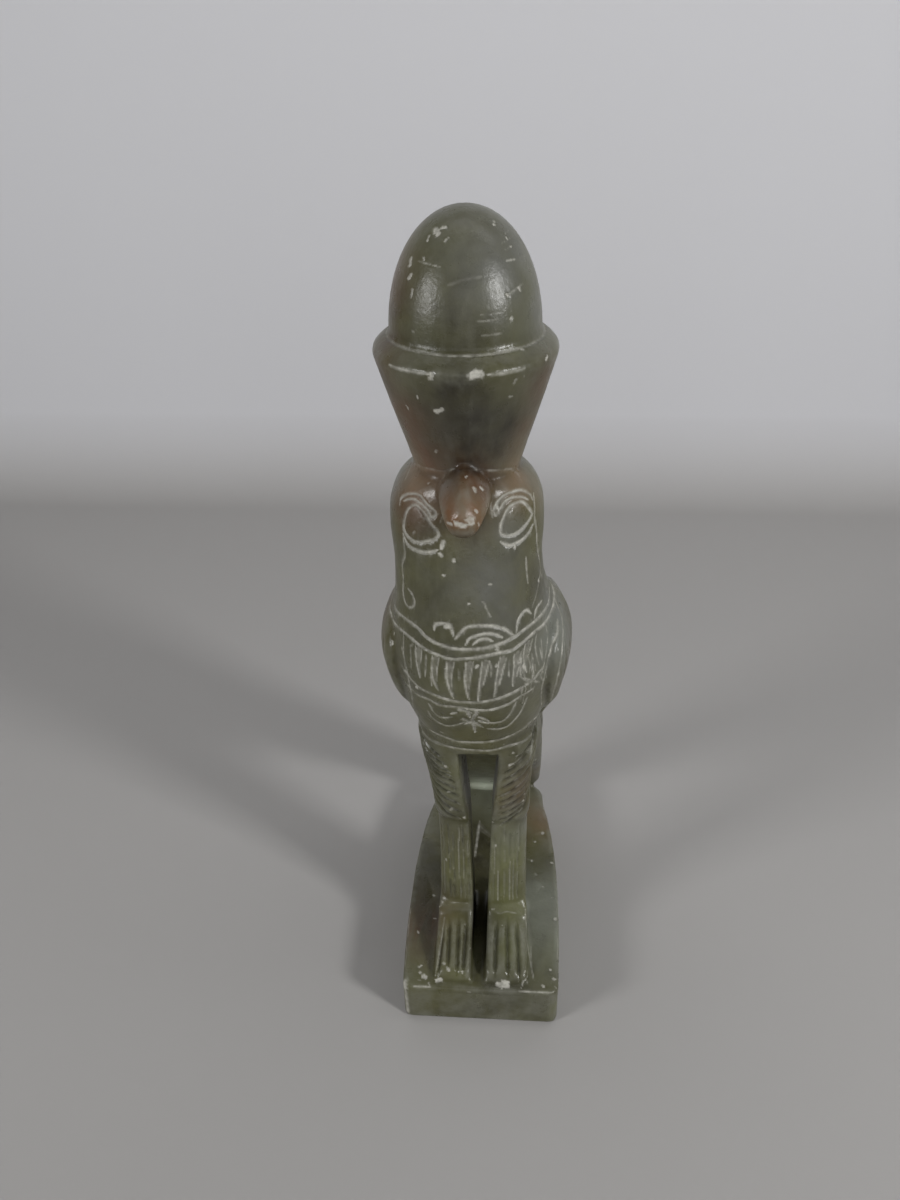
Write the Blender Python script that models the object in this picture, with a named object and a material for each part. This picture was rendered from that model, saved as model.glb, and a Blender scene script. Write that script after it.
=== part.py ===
# A carved soapstone falcon with a tall crown, standing on a low base.
# It is one block of stone, so it is one object. The figure faces -Y, and the
# origin is the middle of the base's underside.

import math

import bmesh
import bpy
from mathutils import Vector

MM = 0.001

# The figure. Its pose and carving are counted in units, each a share of its height.
FIGURE_HEIGHT = 236 * MM  # from the base's top to the top of the crown
FIGURE_UNITS = 236
UNIT = FIGURE_HEIGHT / FIGURE_UNITS

# The base
BASE_THICKNESS = 17 * MM
BASE_SIDE_MARGIN = 6.2 * MM  # from the tail's side to the base's side
BASE_FRONT_MARGIN = 2 * MM  # from the toe tips to the base's front
BASE_BACK_MARGIN = 0.5 * MM  # from the tail's end to the base's back
BASE_CORNER = 3.5 * MM
# Its half width as a share of the widest, against the way from its front to its back
BASE_SIDES = {
    0: (0.945,), 0.11: (0.967,), 0.29: (1.0,), 0.5: (0.99,), 0.665: (0.948,), 0.79: (0.892,), 0.893: (0.82,),
}
BASE_SQUARENESS = 3.0  # of the round back: 2 is an ellipse, more is squarer
BASE_EDGE = 1.2 * MM
SUNK = 3 * MM  # how far a fused shape runs into what carries it

# The lean of the hand-carved block: how far the crown stands off the base's middle
LEAN = -4.3 * UNIT
LEAN_FROM, LEAN_TO = 50 * UNIT, 165 * UNIT

# Body and tail, from the tail's foot up to the skull. Each station is height:
# (front, back, half width at the front, half width at the back, squareness)
BODY = {
    -2.6: (44.6, 47.2, 15.0, 15.0, 3.0),
    0.8: (43.4, 47.9, 18.6, 18.6, 3.0),
    6: (40.6, 48.0, 20.4, 20.4, 3.2),
    19: (32.6, 46.2, 20.6, 20.6, 3.2),
    41: (18.5, 41.5, 20.2, 20.2, 3.0),
    58: (6.0, 37.7, 19.2, 19.2, 2.8),
    69: (-3.5, 35.3, 18.6, 19.2, 2.7),
    76.5: (-14.0, 33.7, 18.3, 19.5, 2.6),
    80.5: (-24.5, 32.8, 18.3, 19.9, 2.5),
    84: (-28.3, 32.0, 18.8, 20.5, 2.5),
    91: (-29.9, 30.4, 20.4, 21.5, 2.4),
    99: (-32.2, 28.4, 22.2, 23.3, 2.4),
    107: (-34.8, 26.2, 24.2, 25.8, 2.35),
    115: (-36.5, 23.9, 24.9, 26.8, 2.35),
    122: (-37.0, 21.8, 24.0, 25.0, 2.35),
    129: (-36.6, 19.8, 22.7, 22.9, 2.35),
    137: (-35.0, 17.3, 21.1, 21.1, 2.35),
    147: (-32.2, 14.6, 20.5, 20.5, 2.4),
    156: (-29.8, 12.4, 21.0, 21.0, 2.4),
    161.5: (-28.4, 10.9, 20.7, 20.7, 2.35),
    166.3: (-27.2, 9.0, 19.2, 19.2, 2.3),
    170: (-25.6, 6.4, 16.6, 16.6, 2.2),
    173: (-21.5, 1.0, 11.5, 11.5, 2.0),
}
BODY_AROUND = 36

# The two legs are one block until the slot between them is sawn. Each station is
# height: (front, back, half width, squareness)
LEGS = {
    -3: (-24.2, -9.2, 14.9, 3.4),
    11: (-24.4, -9.4, 14.9, 3.4),
    33: (-23.6, -9.4, 14.5, 3.4),
    51: (-24.0, -8.6, 14.6, 3.2),
    54: (-25.2, -7.9, 15.4, 3.0),
    60: (-26.2, -6.6, 15.7, 2.9),
    70: (-27.0, -4.4, 16.7, 2.7),
    80: (-27.8, -1.0, 18.4, 2.6),
    87: (-28.6, 3.0, 19.5, 2.5),
}
LEGS_AROUND = 32
# The slot between them, sawn by hand and a little off the middle. Each station is
# height: (middle, half width)
SLOT = {
    -9: (-0.85, 2.5),
    15: (-0.85, 2.6),
    30: (-0.85, 3.1),
    50: (-0.6, 3.6),
    60: (-0.45, 4.5),
    70: (0.1, 5.5),
    83.4: (0.5, 6.1),
}
SLOT_BACK = 1.0

# Feet: station along the foot: (top over the base, half width of the outline)
FOOT = {
    -20: (14.5, 14.9),
    -24.6: (12.2, 15.2),
    -26.0: (9.3, 15.3),
    -34: (6.6, 15.4),
    -41: (4.4, 15.5),
    -44.8: (3.0, 15.2),
    -46.5: (0.8, 14.4),
}
TOE_TIP = -46.5
TOES = 3
TOE_RIDGE = 1.3
TOE_STEPS = 3  # points across each toe

# Wings: raised plates that lie on the body. Each station is height:
# (front edge, back edge, how far it stands out), the edges as degrees round the body
WING = {
    127: (84, 110, 0.3),
    124: (70, 126, 1.4),
    118: (60, 140, 2.2),
    109: (56, 152, 2.4),
    100: (60, 162, 2.0),
    91: (70, 168, 1.7),
    80: (81, 172, 1.0),
    64: (93, 172, 0.8),
    48: (103, 166, 0.8),
    33: (113, 158, 0.9),
    21: (123, 150, 0.8),
    15: (131, 143, 0.2),
}
WING_ACROSS = 8
WING_DEEP = 1.5  # how far a wing's inner side lies under the body's surface

# Crown
CROWN_Y = -10
CROWN_X = 0.4
CUP_FOOT, CUP_FOOT_RADIUS = 166, 12.2
CUP_NECK, CUP_NECK_RADIUS = 174, 14.2
RIM, RIM_RADIUS = 202.4, 23.3
RIM_BAND = 1.6
SHOULDER, BULB_RADIUS = 207.6, 18.9
BULB_POWER = 2.05
CROWN_AROUND = 32
BULB_RINGS = 7

# Beak: station along it: (height of its middle, half width, half height)
BEAK = {
    -20: (171.6, 6.6, 6.6),
    -27: (171.8, 6.9, 6.8),
    -31.5: (171.3, 6.5, 6.3),
    -35: (170.3, 5.4, 5.4),
    -37.4: (169.4, 4.2, 4.3),
    -38.8: (168.6, 2.3, 2.7),
}
BEAK_AROUND = 14

# Carving. A knife line is a V, as wide and as deep as given here.
LINE_WIDTH = 1.2
LINE_DEPTH = 0.65
FINE_WIDTH = 0.95
FINE_DEPTH = 0.5
LINE_RISE = 0.6  # how far a line's cutter stands over the surface

# The broad collar: height of each line against degrees round the body from the front
COLLAR_LINES = {
    "top": {0: 130.4, 20: 131.4, 45: 133.0, 75: 131.6, 100: 130.2, 140: 131.5, 180: 132.5},
    "band": {0: 126.8, 22: 128.3, 45: 129.8, 75: 128.6, 100: 127.0, 140: 128.3, 180: 129.3},
    "petals": {0: 111.4, 12: 112.3, 30: 114.6, 48: 116.0},
    "under": {0: 108.2, 10: 108.5, 22: 109.5, 34: 110.6},
}
PETALS = 10
PETAL_PITCH = 4.5
PETAL_GAP = 1.5  # from a petal's line to the collar lines over and under it
SUN_ARCS = (((-3.0, 132.6), (0.6, 136.1), (5.3, 137.1), (9.5, 135.6), (12.6, 133.4)),
            ((0.4, 132.2), (2.1, 133.9), (5.2, 134.6), (8.2, 133.4)))
SWAGS = (((-12.6, 106.9), (-8.8, 103.3), (-4.6, 103.8)), ((-12.4, 103.2), (-8.4, 99.7), (-4.6, 99.8)),
         ((12.0, 107.4), (10.3, 103.9), (7.1, 102.2), (4.6, 103.0)),
         ((13.6, 104.6), (11.6, 100.6), (7.5, 98.3), (4.4, 99.4)))
FLOWER = ((-2.6, 106.4), (-1.8, 100.6), (0.5, 97.2), (2.4, 101.0), (2.8, 106.4))
HEMS = ({0: 91.8, 25: 93.0, 62: 94.6}, {0: 87.9, 25: 88.6, 58: 89.4})

# Feathers of the thighs and the lines down the shanks
STRIPES = 7
STRIPE_INNER = (55.6, 74.6)  # lowest and highest stripe where it meets the slot
STRIPE_OUTER = (63.6, 77.0)  # and at the leg's outer side
STRIPE_SAG = 1.0
SHANK_LINES = (6.4, 9.2, 12.0)
SHANK_SPAN = (15, 49)

# Face, as (sideways, height) points. The two sides were cut freehand and differ.
EYES = {
    -1: (
        (-6.4, 160.2), (-9.0, 163.6), (-12.0, 166.0), (-14.6, 164.0), (-15.8, 160.4), (-13.4, 157.6), (-9.4, 157.2),
    ),
    1: (
        (9.2, 160.6), (10.4, 164.0), (13.0, 166.8), (15.8, 165.2), (17.4, 161.6), (15.0, 159.7), (12.2, 159.3),
    ),
}
BROWS = {
    -1: ((-17.2, 164.6), (-15.4, 167.8), (-12.2, 169.0), (-8.8, 167.6), (-6.9, 165.2)),
    1: ((7.8, 165.4), (8.8, 168.2), (11.6, 169.6), (14.6, 169.0), (17.2, 166.4)),
}
CHEEKS = {
    -1: (
        (-7.0, 155.2), (-11.2, 154.6), (-15.2, 156.0), (-16.6, 149.0), (-17.1, 141.8), (-15.6, 138.2), (-13.7, 140.6),
    ),
    1: (
        (9.4, 157.4), (12.8, 156.9), (16.0, 157.4), (16.6, 150.6), (17.3, 143.2), (16.0, 139.4), (14.1, 141.4),
    ),
}

# Feather lines on the wings and the tail
WING_LINES = (0.2, 0.38, 0.56, 0.74)  # across the wing, from its front edge
WING_LINE_SPAN = (26, 97)
WING_ROWS = (103, 112)
TAIL_LINES = (166, 180, 194)
TAIL_SPAN = (8, 72)


def smooth_between(stations, at):
    """The stations' values at one place, on curves that pass through each station without overshoot."""
    keys = sorted(stations)
    if at <= keys[0]:
        return tuple(stations[keys[0]])
    if at >= keys[-1]:
        return tuple(stations[keys[-1]])
    i = max(k for k in range(len(keys) - 1) if keys[k] <= at)

    def slope(k, column):
        if k == 0 or k == len(keys) - 1:
            return 0.0
        before = (stations[keys[k]][column] - stations[keys[k - 1]][column]) / (keys[k] - keys[k - 1])
        after = (stations[keys[k + 1]][column] - stations[keys[k]][column]) / (keys[k + 1] - keys[k])
        return 0.0 if before * after <= 0 else 2 * before * after / (before + after)

    span = keys[i + 1] - keys[i]
    t = (at - keys[i]) / span
    found = []
    for column in range(len(stations[keys[i]])):
        start, end = stations[keys[i]][column], stations[keys[i + 1]][column]
        found.append(
            start * (1 + 2 * t) * (1 - t) ** 2
            + slope(i, column) * span * t * (1 - t) ** 2
            + end * t * t * (3 - 2 * t)
            - slope(i + 1, column) * span * t * t * (1 - t)
        )
    return tuple(found)


def eased(t):
    t = min(1.0, max(0.0, t))
    return t * t * (3 - 2 * t)


def lean(z):
    """How far the block leans to one side at a height over the base's top, in metres."""
    return LEAN * eased((z - LEAN_FROM) / (LEAN_TO - LEAN_FROM))


def in_world(x, y, height):
    """A point of the figure, given in units over the base's top."""
    z = height * UNIT
    return Vector((x * UNIT + lean(z), y * UNIT, z + BASE_THICKNESS))


def rounded(angle, squareness):
    """(sideways, forwards) on a unit superellipse, at an angle from its front."""
    s, c = math.sin(angle), math.cos(angle)
    power = 2 / squareness
    return math.copysign(abs(s) ** power, s), math.copysign(abs(c) ** power, c)


def new_object(name, mesh_data, material, helper=False):
    mesh = bpy.data.meshes.new(name)
    mesh_data.to_mesh(mesh)
    mesh_data.free()
    mesh.materials.append(material)
    obj = bpy.data.objects.new(name, mesh)
    bpy.context.scene.collection.objects.link(obj)
    if helper:
        obj.hide_render = True
        obj.display_type = "WIRE"
    return obj


def skin(rings):
    """A closed mesh through rings of points, with a flat cap at each end."""
    bm = bmesh.new()
    loops = [[bm.verts.new(p) for p in ring] for ring in rings]
    for low, high in zip(loops, loops[1:]):
        for k in range(len(low)):
            n = (k + 1) % len(low)
            bm.faces.new((low[k], low[n], high[n], high[k]))
    bm.faces.new(list(reversed(loops[0])))
    bm.faces.new(loops[-1])
    bmesh.ops.recalc_face_normals(bm, faces=bm.faces)
    return bm


def body_point(height, angle):
    front, back, half_front, half_back, squareness = smooth_between(BODY, height)
    sideways, forwards = rounded(angle, squareness)
    half = half_front + (half_back - half_front) * eased((0.75 - forwards) / 1.5)
    return sideways * half, (front + back) / 2 - forwards * (back - front) / 2


def body_mesh():
    heights = sorted(BODY)
    between = [(a + b) / 2 for a, b in zip(heights, heights[1:]) if b - a > 12]
    rings = []
    for height in sorted(heights + between):
        angles = [2 * math.pi * (k + 0.5) / BODY_AROUND for k in range(BODY_AROUND)]
        rings.append([in_world(*body_point(height, a), height) for a in angles])
    return skin(rings)


def leg_point(height, angle):
    front, back, half, squareness = smooth_between(LEGS, height)
    sideways, forwards = rounded(angle, squareness)
    return sideways * half, (front + back) / 2 - forwards * (back - front) / 2


def legs_mesh():
    rings = []
    for height in sorted(LEGS):
        angles = [2 * math.pi * (k + 0.5) / LEGS_AROUND for k in range(LEGS_AROUND)]
        rings.append([in_world(*leg_point(height, a), height) for a in angles])
    return skin(rings)


def slot_side(side, height):
    """How far the slot's wall on one side stands from the middle."""
    middle, half = smooth_between(SLOT, height)
    return side * middle + half


def slot_mesh():
    """The sawn slot between the legs, a wedge with a flat top."""
    before = TOE_TIP - 20
    rings = []
    for height, (middle, half) in SLOT.items():
        low, high = middle - half, middle + half
        corners = ((low, before), (high, before), (high, SLOT_BACK), (low, SLOT_BACK))
        rings.append([in_world(x, y, height) for x, y in corners])
    return skin(rings)


def foot_mesh(side):
    """One foot, with rounded toes side by side that begin at the ankle."""
    rings = []
    inner = slot_side(side, 0)
    for y in sorted(FOOT):
        top, outer = FOOT[y]
        ridge = TOE_RIDGE * eased((-24.0 - y) / 2)
        ring = [in_world(side * inner, y, -SUNK / UNIT)]
        for k in range(TOES * TOE_STEPS + 1):
            across = k / (TOES * TOE_STEPS)
            crest = abs(math.sin(math.pi * across * TOES)) ** 0.6
            fall = 1.2 * across**3
            x = side * (inner + (outer - inner) * across)
            ring.append(in_world(x, y, top - ridge * (1 - crest) - fall))
        ring.append(in_world(side * outer, y, -SUNK / UNIT))
        rings.append(ring)
    return skin(rings)


def base_outline():
    """The base seen from above: a straight front, sides that swell a little and a round back."""
    half = max(b[3] for h, b in BODY.items() if h < 30) * UNIT + BASE_SIDE_MARGIN
    front = TOE_TIP * UNIT - BASE_FRONT_MARGIN
    back = max(b[1] for b in BODY.values()) * UNIT + BASE_BACK_MARGIN
    right = []
    for k in range(4):
        a = math.pi / 2 * k / 3
        inset = BASE_CORNER * (1 - math.sin(a))
        right.append((half * BASE_SIDES[0][0] - inset, front + BASE_CORNER * (1 - math.cos(a))))
    for share in sorted(BASE_SIDES)[1:-1]:
        right.append((half * BASE_SIDES[share][0], front + (back - front) * share))
    share, (narrowed,) = max(BASE_SIDES.items())
    turn = front + (back - front) * share
    steps = 7
    for k in range(steps):
        a = math.pi / 2 * k / steps
        x = half * narrowed * math.cos(a) ** (2 / BASE_SQUARENESS)
        right.append((x, turn + (back - turn) * math.sin(a) ** (2 / BASE_SQUARENESS)))
    left = [(-x, y) for x, y in reversed(right)]
    return right + [(0.0, back)] + left


def base_mesh():
    bm = bmesh.new()
    under = bm.faces.new([bm.verts.new((x, y, 0)) for x, y in base_outline()])
    raised = bmesh.ops.extrude_face_region(bm, geom=[under])
    top = [v for v in raised["geom"] if isinstance(v, bmesh.types.BMVert)]
    bmesh.ops.translate(bm, verts=top, vec=(0, 0, BASE_THICKNESS))
    rims = [e for e in bm.edges if abs(e.verts[0].co.z - e.verts[1].co.z) < BASE_THICKNESS / 2]
    bmesh.ops.bevel(bm, geom=rims, offset=BASE_EDGE, segments=2, profile=0.5, affect="EDGES")
    bmesh.ops.recalc_face_normals(bm, faces=bm.faces)
    return bm


def wing_mesh(side):
    """A plate over the body's surface whose outline is the folded wing."""
    heights = sorted(WING)
    heights = sorted(heights + [(a + b) / 2 for a, b in zip(heights, heights[1:]) if b - a > 9])
    rings = []
    for height in heights:
        fore, aft, out = smooth_between(WING, height)
        outer, inner = [], []
        for k in range(WING_ACROSS + 1):
            angle = math.radians(fore + (aft - fore) * k / WING_ACROSS)
            x, y = body_point(height, angle)
            xn, yn = body_point(height, angle + 0.02)
            normal = Vector((-(yn - y), xn - x, 0)) * -1
            normal.normalize()
            rim = eased(min(k, WING_ACROSS - k) / 1.0)
            lift = out * (0.55 + 0.45 * rim)
            outer.append(in_world(side * (x + normal.x * lift), y + normal.y * lift, height))
            inner.append(in_world(side * (x - normal.x * WING_DEEP), y - normal.y * WING_DEEP, height))
        rings.append(outer + inner[::-1])
    return skin(rings)


def crown_mesh():
    profile = [
        (CUP_FOOT_RADIUS, CUP_FOOT),
        (CUP_NECK_RADIUS, CUP_NECK),
        (RIM_RADIUS - 0.25, RIM - 0.6),
        (RIM_RADIUS, RIM + 0.3),
        (RIM_RADIUS - 0.5, RIM + RIM_BAND),
        (BULB_RADIUS + 1.6, SHOULDER - 0.9),
        (BULB_RADIUS - 0.35, SHOULDER - 0.3),
    ]
    tall = FIGURE_UNITS - SHOULDER
    for k in range(BULB_RINGS):
        up = 0.02 + 0.96 * math.sin(math.pi / 2 * k / (BULB_RINGS - 1))
        profile.append((BULB_RADIUS * (1 - up**BULB_POWER) ** (1 / BULB_POWER), SHOULDER + tall * up))
    rings = []
    for radius, height in profile:
        angles = [2 * math.pi * k / CROWN_AROUND for k in range(CROWN_AROUND)]
        turned = [(CROWN_X + radius * math.cos(a), CROWN_Y + radius * math.sin(a)) for a in angles]
        rings.append([in_world(x, y, height) for x, y in turned])
    bm = skin(rings)
    # The bulb's top closes in a point and not in a flat cap
    cap = max(bm.faces, key=lambda f: f.calc_center_median().z)
    bmesh.ops.poke(bm, faces=[cap])
    tip = max(bm.verts, key=lambda v: (len(v.link_edges), v.co.z))
    tip.co.z = BASE_THICKNESS + FIGURE_HEIGHT
    return bm


def beak_mesh():
    rings = []
    for y in sorted(BEAK, reverse=True):
        middle, half, tall = BEAK[y]
        ring = []
        for k in range(BEAK_AROUND):
            a = 2 * math.pi * k / BEAK_AROUND
            ring.append(in_world(half * math.cos(a), y, middle + tall * math.sin(a)))
        rings.append(ring)
    return skin(rings)


def on_surface(point_at, height, angle, lift=0.0):
    """A point of a surface and the surface's outward direction there."""
    here = in_world(*point_at(height, angle), height)
    round_it = in_world(*point_at(height, angle + 0.04), height) - here
    up_it = in_world(*point_at(height + 0.5, angle), height + 0.5) - here
    outward = round_it.cross(up_it).normalized()
    return here + outward * lift * UNIT, outward


def angle_across(point_at, height, sideways):
    """The angle at which the front of a surface is this far to the side."""
    low, high = -math.pi / 2, math.pi / 2
    for _ in range(30):
        middle = (low + high) / 2
        if point_at(height, middle)[0] < sideways:
            low = middle
        else:
            high = middle
    return (low + high) / 2


def cut_line(bm, frames, width=LINE_WIDTH, depth=LINE_DEPTH, closed=False):
    """Adds the V cutter of one knife line. It runs out at the ends unless it is closed."""
    count = len(frames)
    rings = []
    for k, (point, outward) in enumerate(frames):
        before = frames[(k - 1) % count if closed else max(k - 1, 0)][0]
        after = frames[(k + 1) % count if closed else min(k + 1, count - 1)][0]
        side = (after - before).cross(outward).normalized()
        share = 1.0 if closed or 0 < k < count - 1 else 0.45
        half = width / 2 * share * (depth * share + LINE_RISE) / (depth * share) * UNIT
        top = point + outward * LINE_RISE * UNIT
        corners = (top + side * half, top - side * half, point - outward * depth * share * UNIT)
        rings.append([bm.verts.new(c) for c in corners])
    pairs = list(zip(rings, rings[1:])) + ([(rings[-1], rings[0])] if closed else [])
    for low, high in pairs:
        for k in range(3):
            n = (k + 1) % 3
            bm.faces.new((low[k], low[n], high[n], high[k]))
    if not closed:
        bm.faces.new(list(reversed(rings[0])))
        bm.faces.new(rings[-1])


def path_at(points):
    """Frames on the body for (sideways, height) points of its front."""
    return [on_surface(body_point, h, angle_across(body_point, h, x)) for x, h in points]


def height_on(line, degrees):
    return smooth_between({k: (v,) for k, v in line.items()}, abs(degrees))[0]


def collar_lines():
    bm = bmesh.new()
    for name, line in COLLAR_LINES.items():
        reach = max(line)
        if reach == 180:
            degrees = [k * 360 / 18 - 180 for k in range(18)]
        else:
            degrees = [reach * k / 4 for k in range(-4, 5)]
        frames = [on_surface(body_point, height_on(line, d), math.radians(d)) for d in degrees]
        cut_line(bm, frames, closed=reach == 180)
    for k in range(PETALS):
        across = (k - (PETALS - 1) / 2) * PETAL_PITCH
        degrees = math.degrees(angle_across(body_point, 120, across * 0.97))
        top = height_on(COLLAR_LINES["band"], degrees) - PETAL_GAP
        low = height_on(COLLAR_LINES["petals"], degrees) + PETAL_GAP
        frames = [on_surface(body_point, h, math.radians(degrees)) for h in (low, top)]
        cut_line(bm, frames, LINE_WIDTH * 1.25, LINE_DEPTH)
    for points in SUN_ARCS + SWAGS + (FLOWER,):
        cut_line(bm, path_at(points), FINE_WIDTH, FINE_DEPTH)
    for line in HEMS:
        reach = max(line)
        degrees = [reach * k / 4 for k in range(-4, 5)]
        cut_line(bm, [on_surface(body_point, height_on(line, d), math.radians(d)) for d in degrees])
    bmesh.ops.recalc_face_normals(bm, faces=bm.faces)
    return bm


def face_lines():
    bm = bmesh.new()
    for side in EYES:
        cut_line(bm, path_at(EYES[side]), closed=True)
        cut_line(bm, path_at(BROWS[side]))
        cut_line(bm, path_at(CHEEKS[side]), FINE_WIDTH, FINE_DEPTH)
    bmesh.ops.recalc_face_normals(bm, faces=bm.faces)
    return bm


def leg_lines():
    bm = bmesh.new()
    for side in (-1, 1):
        for n in range(STRIPES):
            share = n / (STRIPES - 1)
            inner = STRIPE_INNER[0] + (STRIPE_INNER[1] - STRIPE_INNER[0]) * share
            outer = STRIPE_OUTER[0] + (STRIPE_OUTER[1] - STRIPE_OUTER[0]) * share
            start = angle_across(leg_point, inner, slot_side(side, inner) + 0.9)
            frames = []
            for k in range(5):
                t = k / 4
                height = inner + (outer - inner) * t - STRIPE_SAG * 4 * t * (1 - t) * (1 - 0.5 * share)
                angle = start + (math.radians(76) - start) * t**1.5
                frames.append(on_surface(leg_point, height, side * angle))
            cut_line(bm, frames)
        for across in SHANK_LINES:
            frames = []
            for height in SHANK_SPAN:
                frames.append(on_surface(leg_point, height, side * angle_across(leg_point, height, across)))
            cut_line(bm, frames, FINE_WIDTH, FINE_DEPTH)
    bmesh.ops.recalc_face_normals(bm, faces=bm.faces)
    return bm


def wing_frame(side, height, across):
    fore, aft, out = smooth_between(WING, height)
    angle = math.radians(fore + (aft - fore) * across)
    return on_surface(body_point, height, side * angle, out)


def feather_lines():
    bm = bmesh.new()
    low, high = WING_LINE_SPAN
    for side in (-1, 1):
        for n, across in enumerate(WING_LINES):
            foot = low + 9 * abs(n - 1.5)
            frames = [wing_frame(side, foot + (high - foot) * k / 5, across) for k in range(6)]
            cut_line(bm, frames)
    for degrees in TAIL_LINES:
        frames = []
        for k in range(5):
            height = TAIL_SPAN[0] + (TAIL_SPAN[1] - TAIL_SPAN[0]) * k / 4
            frames.append(on_surface(body_point, height, math.radians(degrees)))
        cut_line(bm, frames)
    bmesh.ops.recalc_face_normals(bm, faces=bm.faces)
    return bm


def feather_rows():
    bm = bmesh.new()
    for side in (-1, 1):
        for height in WING_ROWS:
            dips = [3.2 * math.sin(math.pi * k / 5) for k in range(6)]
            frames = [wing_frame(side, height - dip, 0.1 + 0.75 * k / 5) for k, dip in enumerate(dips)]
            cut_line(bm, frames)
    bmesh.ops.recalc_face_normals(bm, faces=bm.faces)
    return bm


def stone():
    material = bpy.data.materials.new("soapstone")
    material.use_nodes = True
    shader = material.node_tree.nodes["Principled BSDF"]
    shader.inputs["Base Color"].default_value = (0.085, 0.083, 0.055, 1)
    shader.inputs["Roughness"].default_value = 0.4
    shader.inputs["Metallic"].default_value = 0.0
    return material


def boolean(target, other, operation):
    modifier = target.modifiers.new(f"{operation.lower()} {other.name}", "BOOLEAN")
    modifier.operation = operation
    modifier.solver = "EXACT"
    modifier.object = other


def main():
    for obj in list(bpy.data.objects):
        bpy.data.objects.remove(obj)
    material = stone()
    legs = new_object("legs_block", legs_mesh(), material, helper=True)
    feet = []
    for name, side in (("foot_left", 1), ("foot_right", -1)):
        feet.append(new_object(name, foot_mesh(side), material, helper=True))
    slot = new_object("slot_between_legs", slot_mesh(), material, helper=True)
    figure = new_object("falcon_statue", body_mesh(), material)
    boolean(figure, legs, "UNION")
    for foot in feet:
        boolean(figure, foot, "UNION")
    boolean(figure, slot, "DIFFERENCE")
    others = [
        new_object("base_slab", base_mesh(), material, helper=True),
        new_object("wing_left", wing_mesh(1), material, helper=True),
        new_object("wing_right", wing_mesh(-1), material, helper=True),
        new_object("crown_turning", crown_mesh(), material, helper=True),
        new_object("beak_block", beak_mesh(), material, helper=True),
    ]
    for other in others:
        boolean(figure, other, "UNION")
    carving = (collar_lines, face_lines, leg_lines, feather_lines, feather_rows)
    for lines in carving:
        boolean(figure, new_object(lines.__name__, lines(), material, helper=True), "DIFFERENCE")


main()
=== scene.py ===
import math
import random

import bmesh
import bpy
import numpy as np
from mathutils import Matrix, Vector, noise
from mathutils.bvhtree import BVHTree
from mathutils.kdtree import KDTree


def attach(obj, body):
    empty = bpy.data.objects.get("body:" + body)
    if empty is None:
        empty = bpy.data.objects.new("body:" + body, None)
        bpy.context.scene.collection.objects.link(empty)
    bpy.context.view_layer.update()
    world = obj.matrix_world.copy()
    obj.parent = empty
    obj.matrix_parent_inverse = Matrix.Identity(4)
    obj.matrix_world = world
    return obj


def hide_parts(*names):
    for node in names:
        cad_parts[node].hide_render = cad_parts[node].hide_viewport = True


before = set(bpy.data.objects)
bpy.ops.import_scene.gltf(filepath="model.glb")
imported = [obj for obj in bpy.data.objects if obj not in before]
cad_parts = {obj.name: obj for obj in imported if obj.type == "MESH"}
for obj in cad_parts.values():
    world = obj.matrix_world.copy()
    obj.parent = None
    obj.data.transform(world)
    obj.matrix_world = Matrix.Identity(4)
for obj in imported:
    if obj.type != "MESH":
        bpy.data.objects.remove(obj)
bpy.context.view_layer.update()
mm = 0.001  # sizes are in millimetres, and heights are over the base's top unless a note says otherwise
print("frame loaded")

figure = {
    "height": 236.0,
    "lean": {  # the hand-carved block leans to one side: height: (sideways,)
        40: (0.0,), 55: (-0.3,), 70: (-0.95,), 80: (-1.4,), 90: (-1.85,), 100: (-2.15,), 110: (-2.45,),
        120: (-2.85,), 130: (-3.35,), 140: (-3.8,), 150: (-4.1,), 165: (-4.3,),
    },
    "voxel": 0.8,  # cell of the first skin over all the forms
    "softening": 2,  # rounds that even that skin out
    "triangles": 188000,  # of the finished skin
    "seed": 11,
}

base = {
    "thickness": 17.0,
    "half": 26.8,
    "front": -49.5,
    "back": 48.5,
    "corner": 3.0,  # roundness of the front corners, seen from above
    "edge": 0.9,  # roundness of the long edges
    "sides": {  # share of the length, from the front: (share of the half width,)
        0: (0.968,), 0.11: (0.982,), 0.29: (1.0,), 0.5: (0.99,), 0.665: (0.948,), 0.79: (0.892,),
        0.893: (0.82,),
    },
    "squareness": 3.0,  # of the round back
    "waver": 0.3,  # how far the sawn sides stray from true
}

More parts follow.
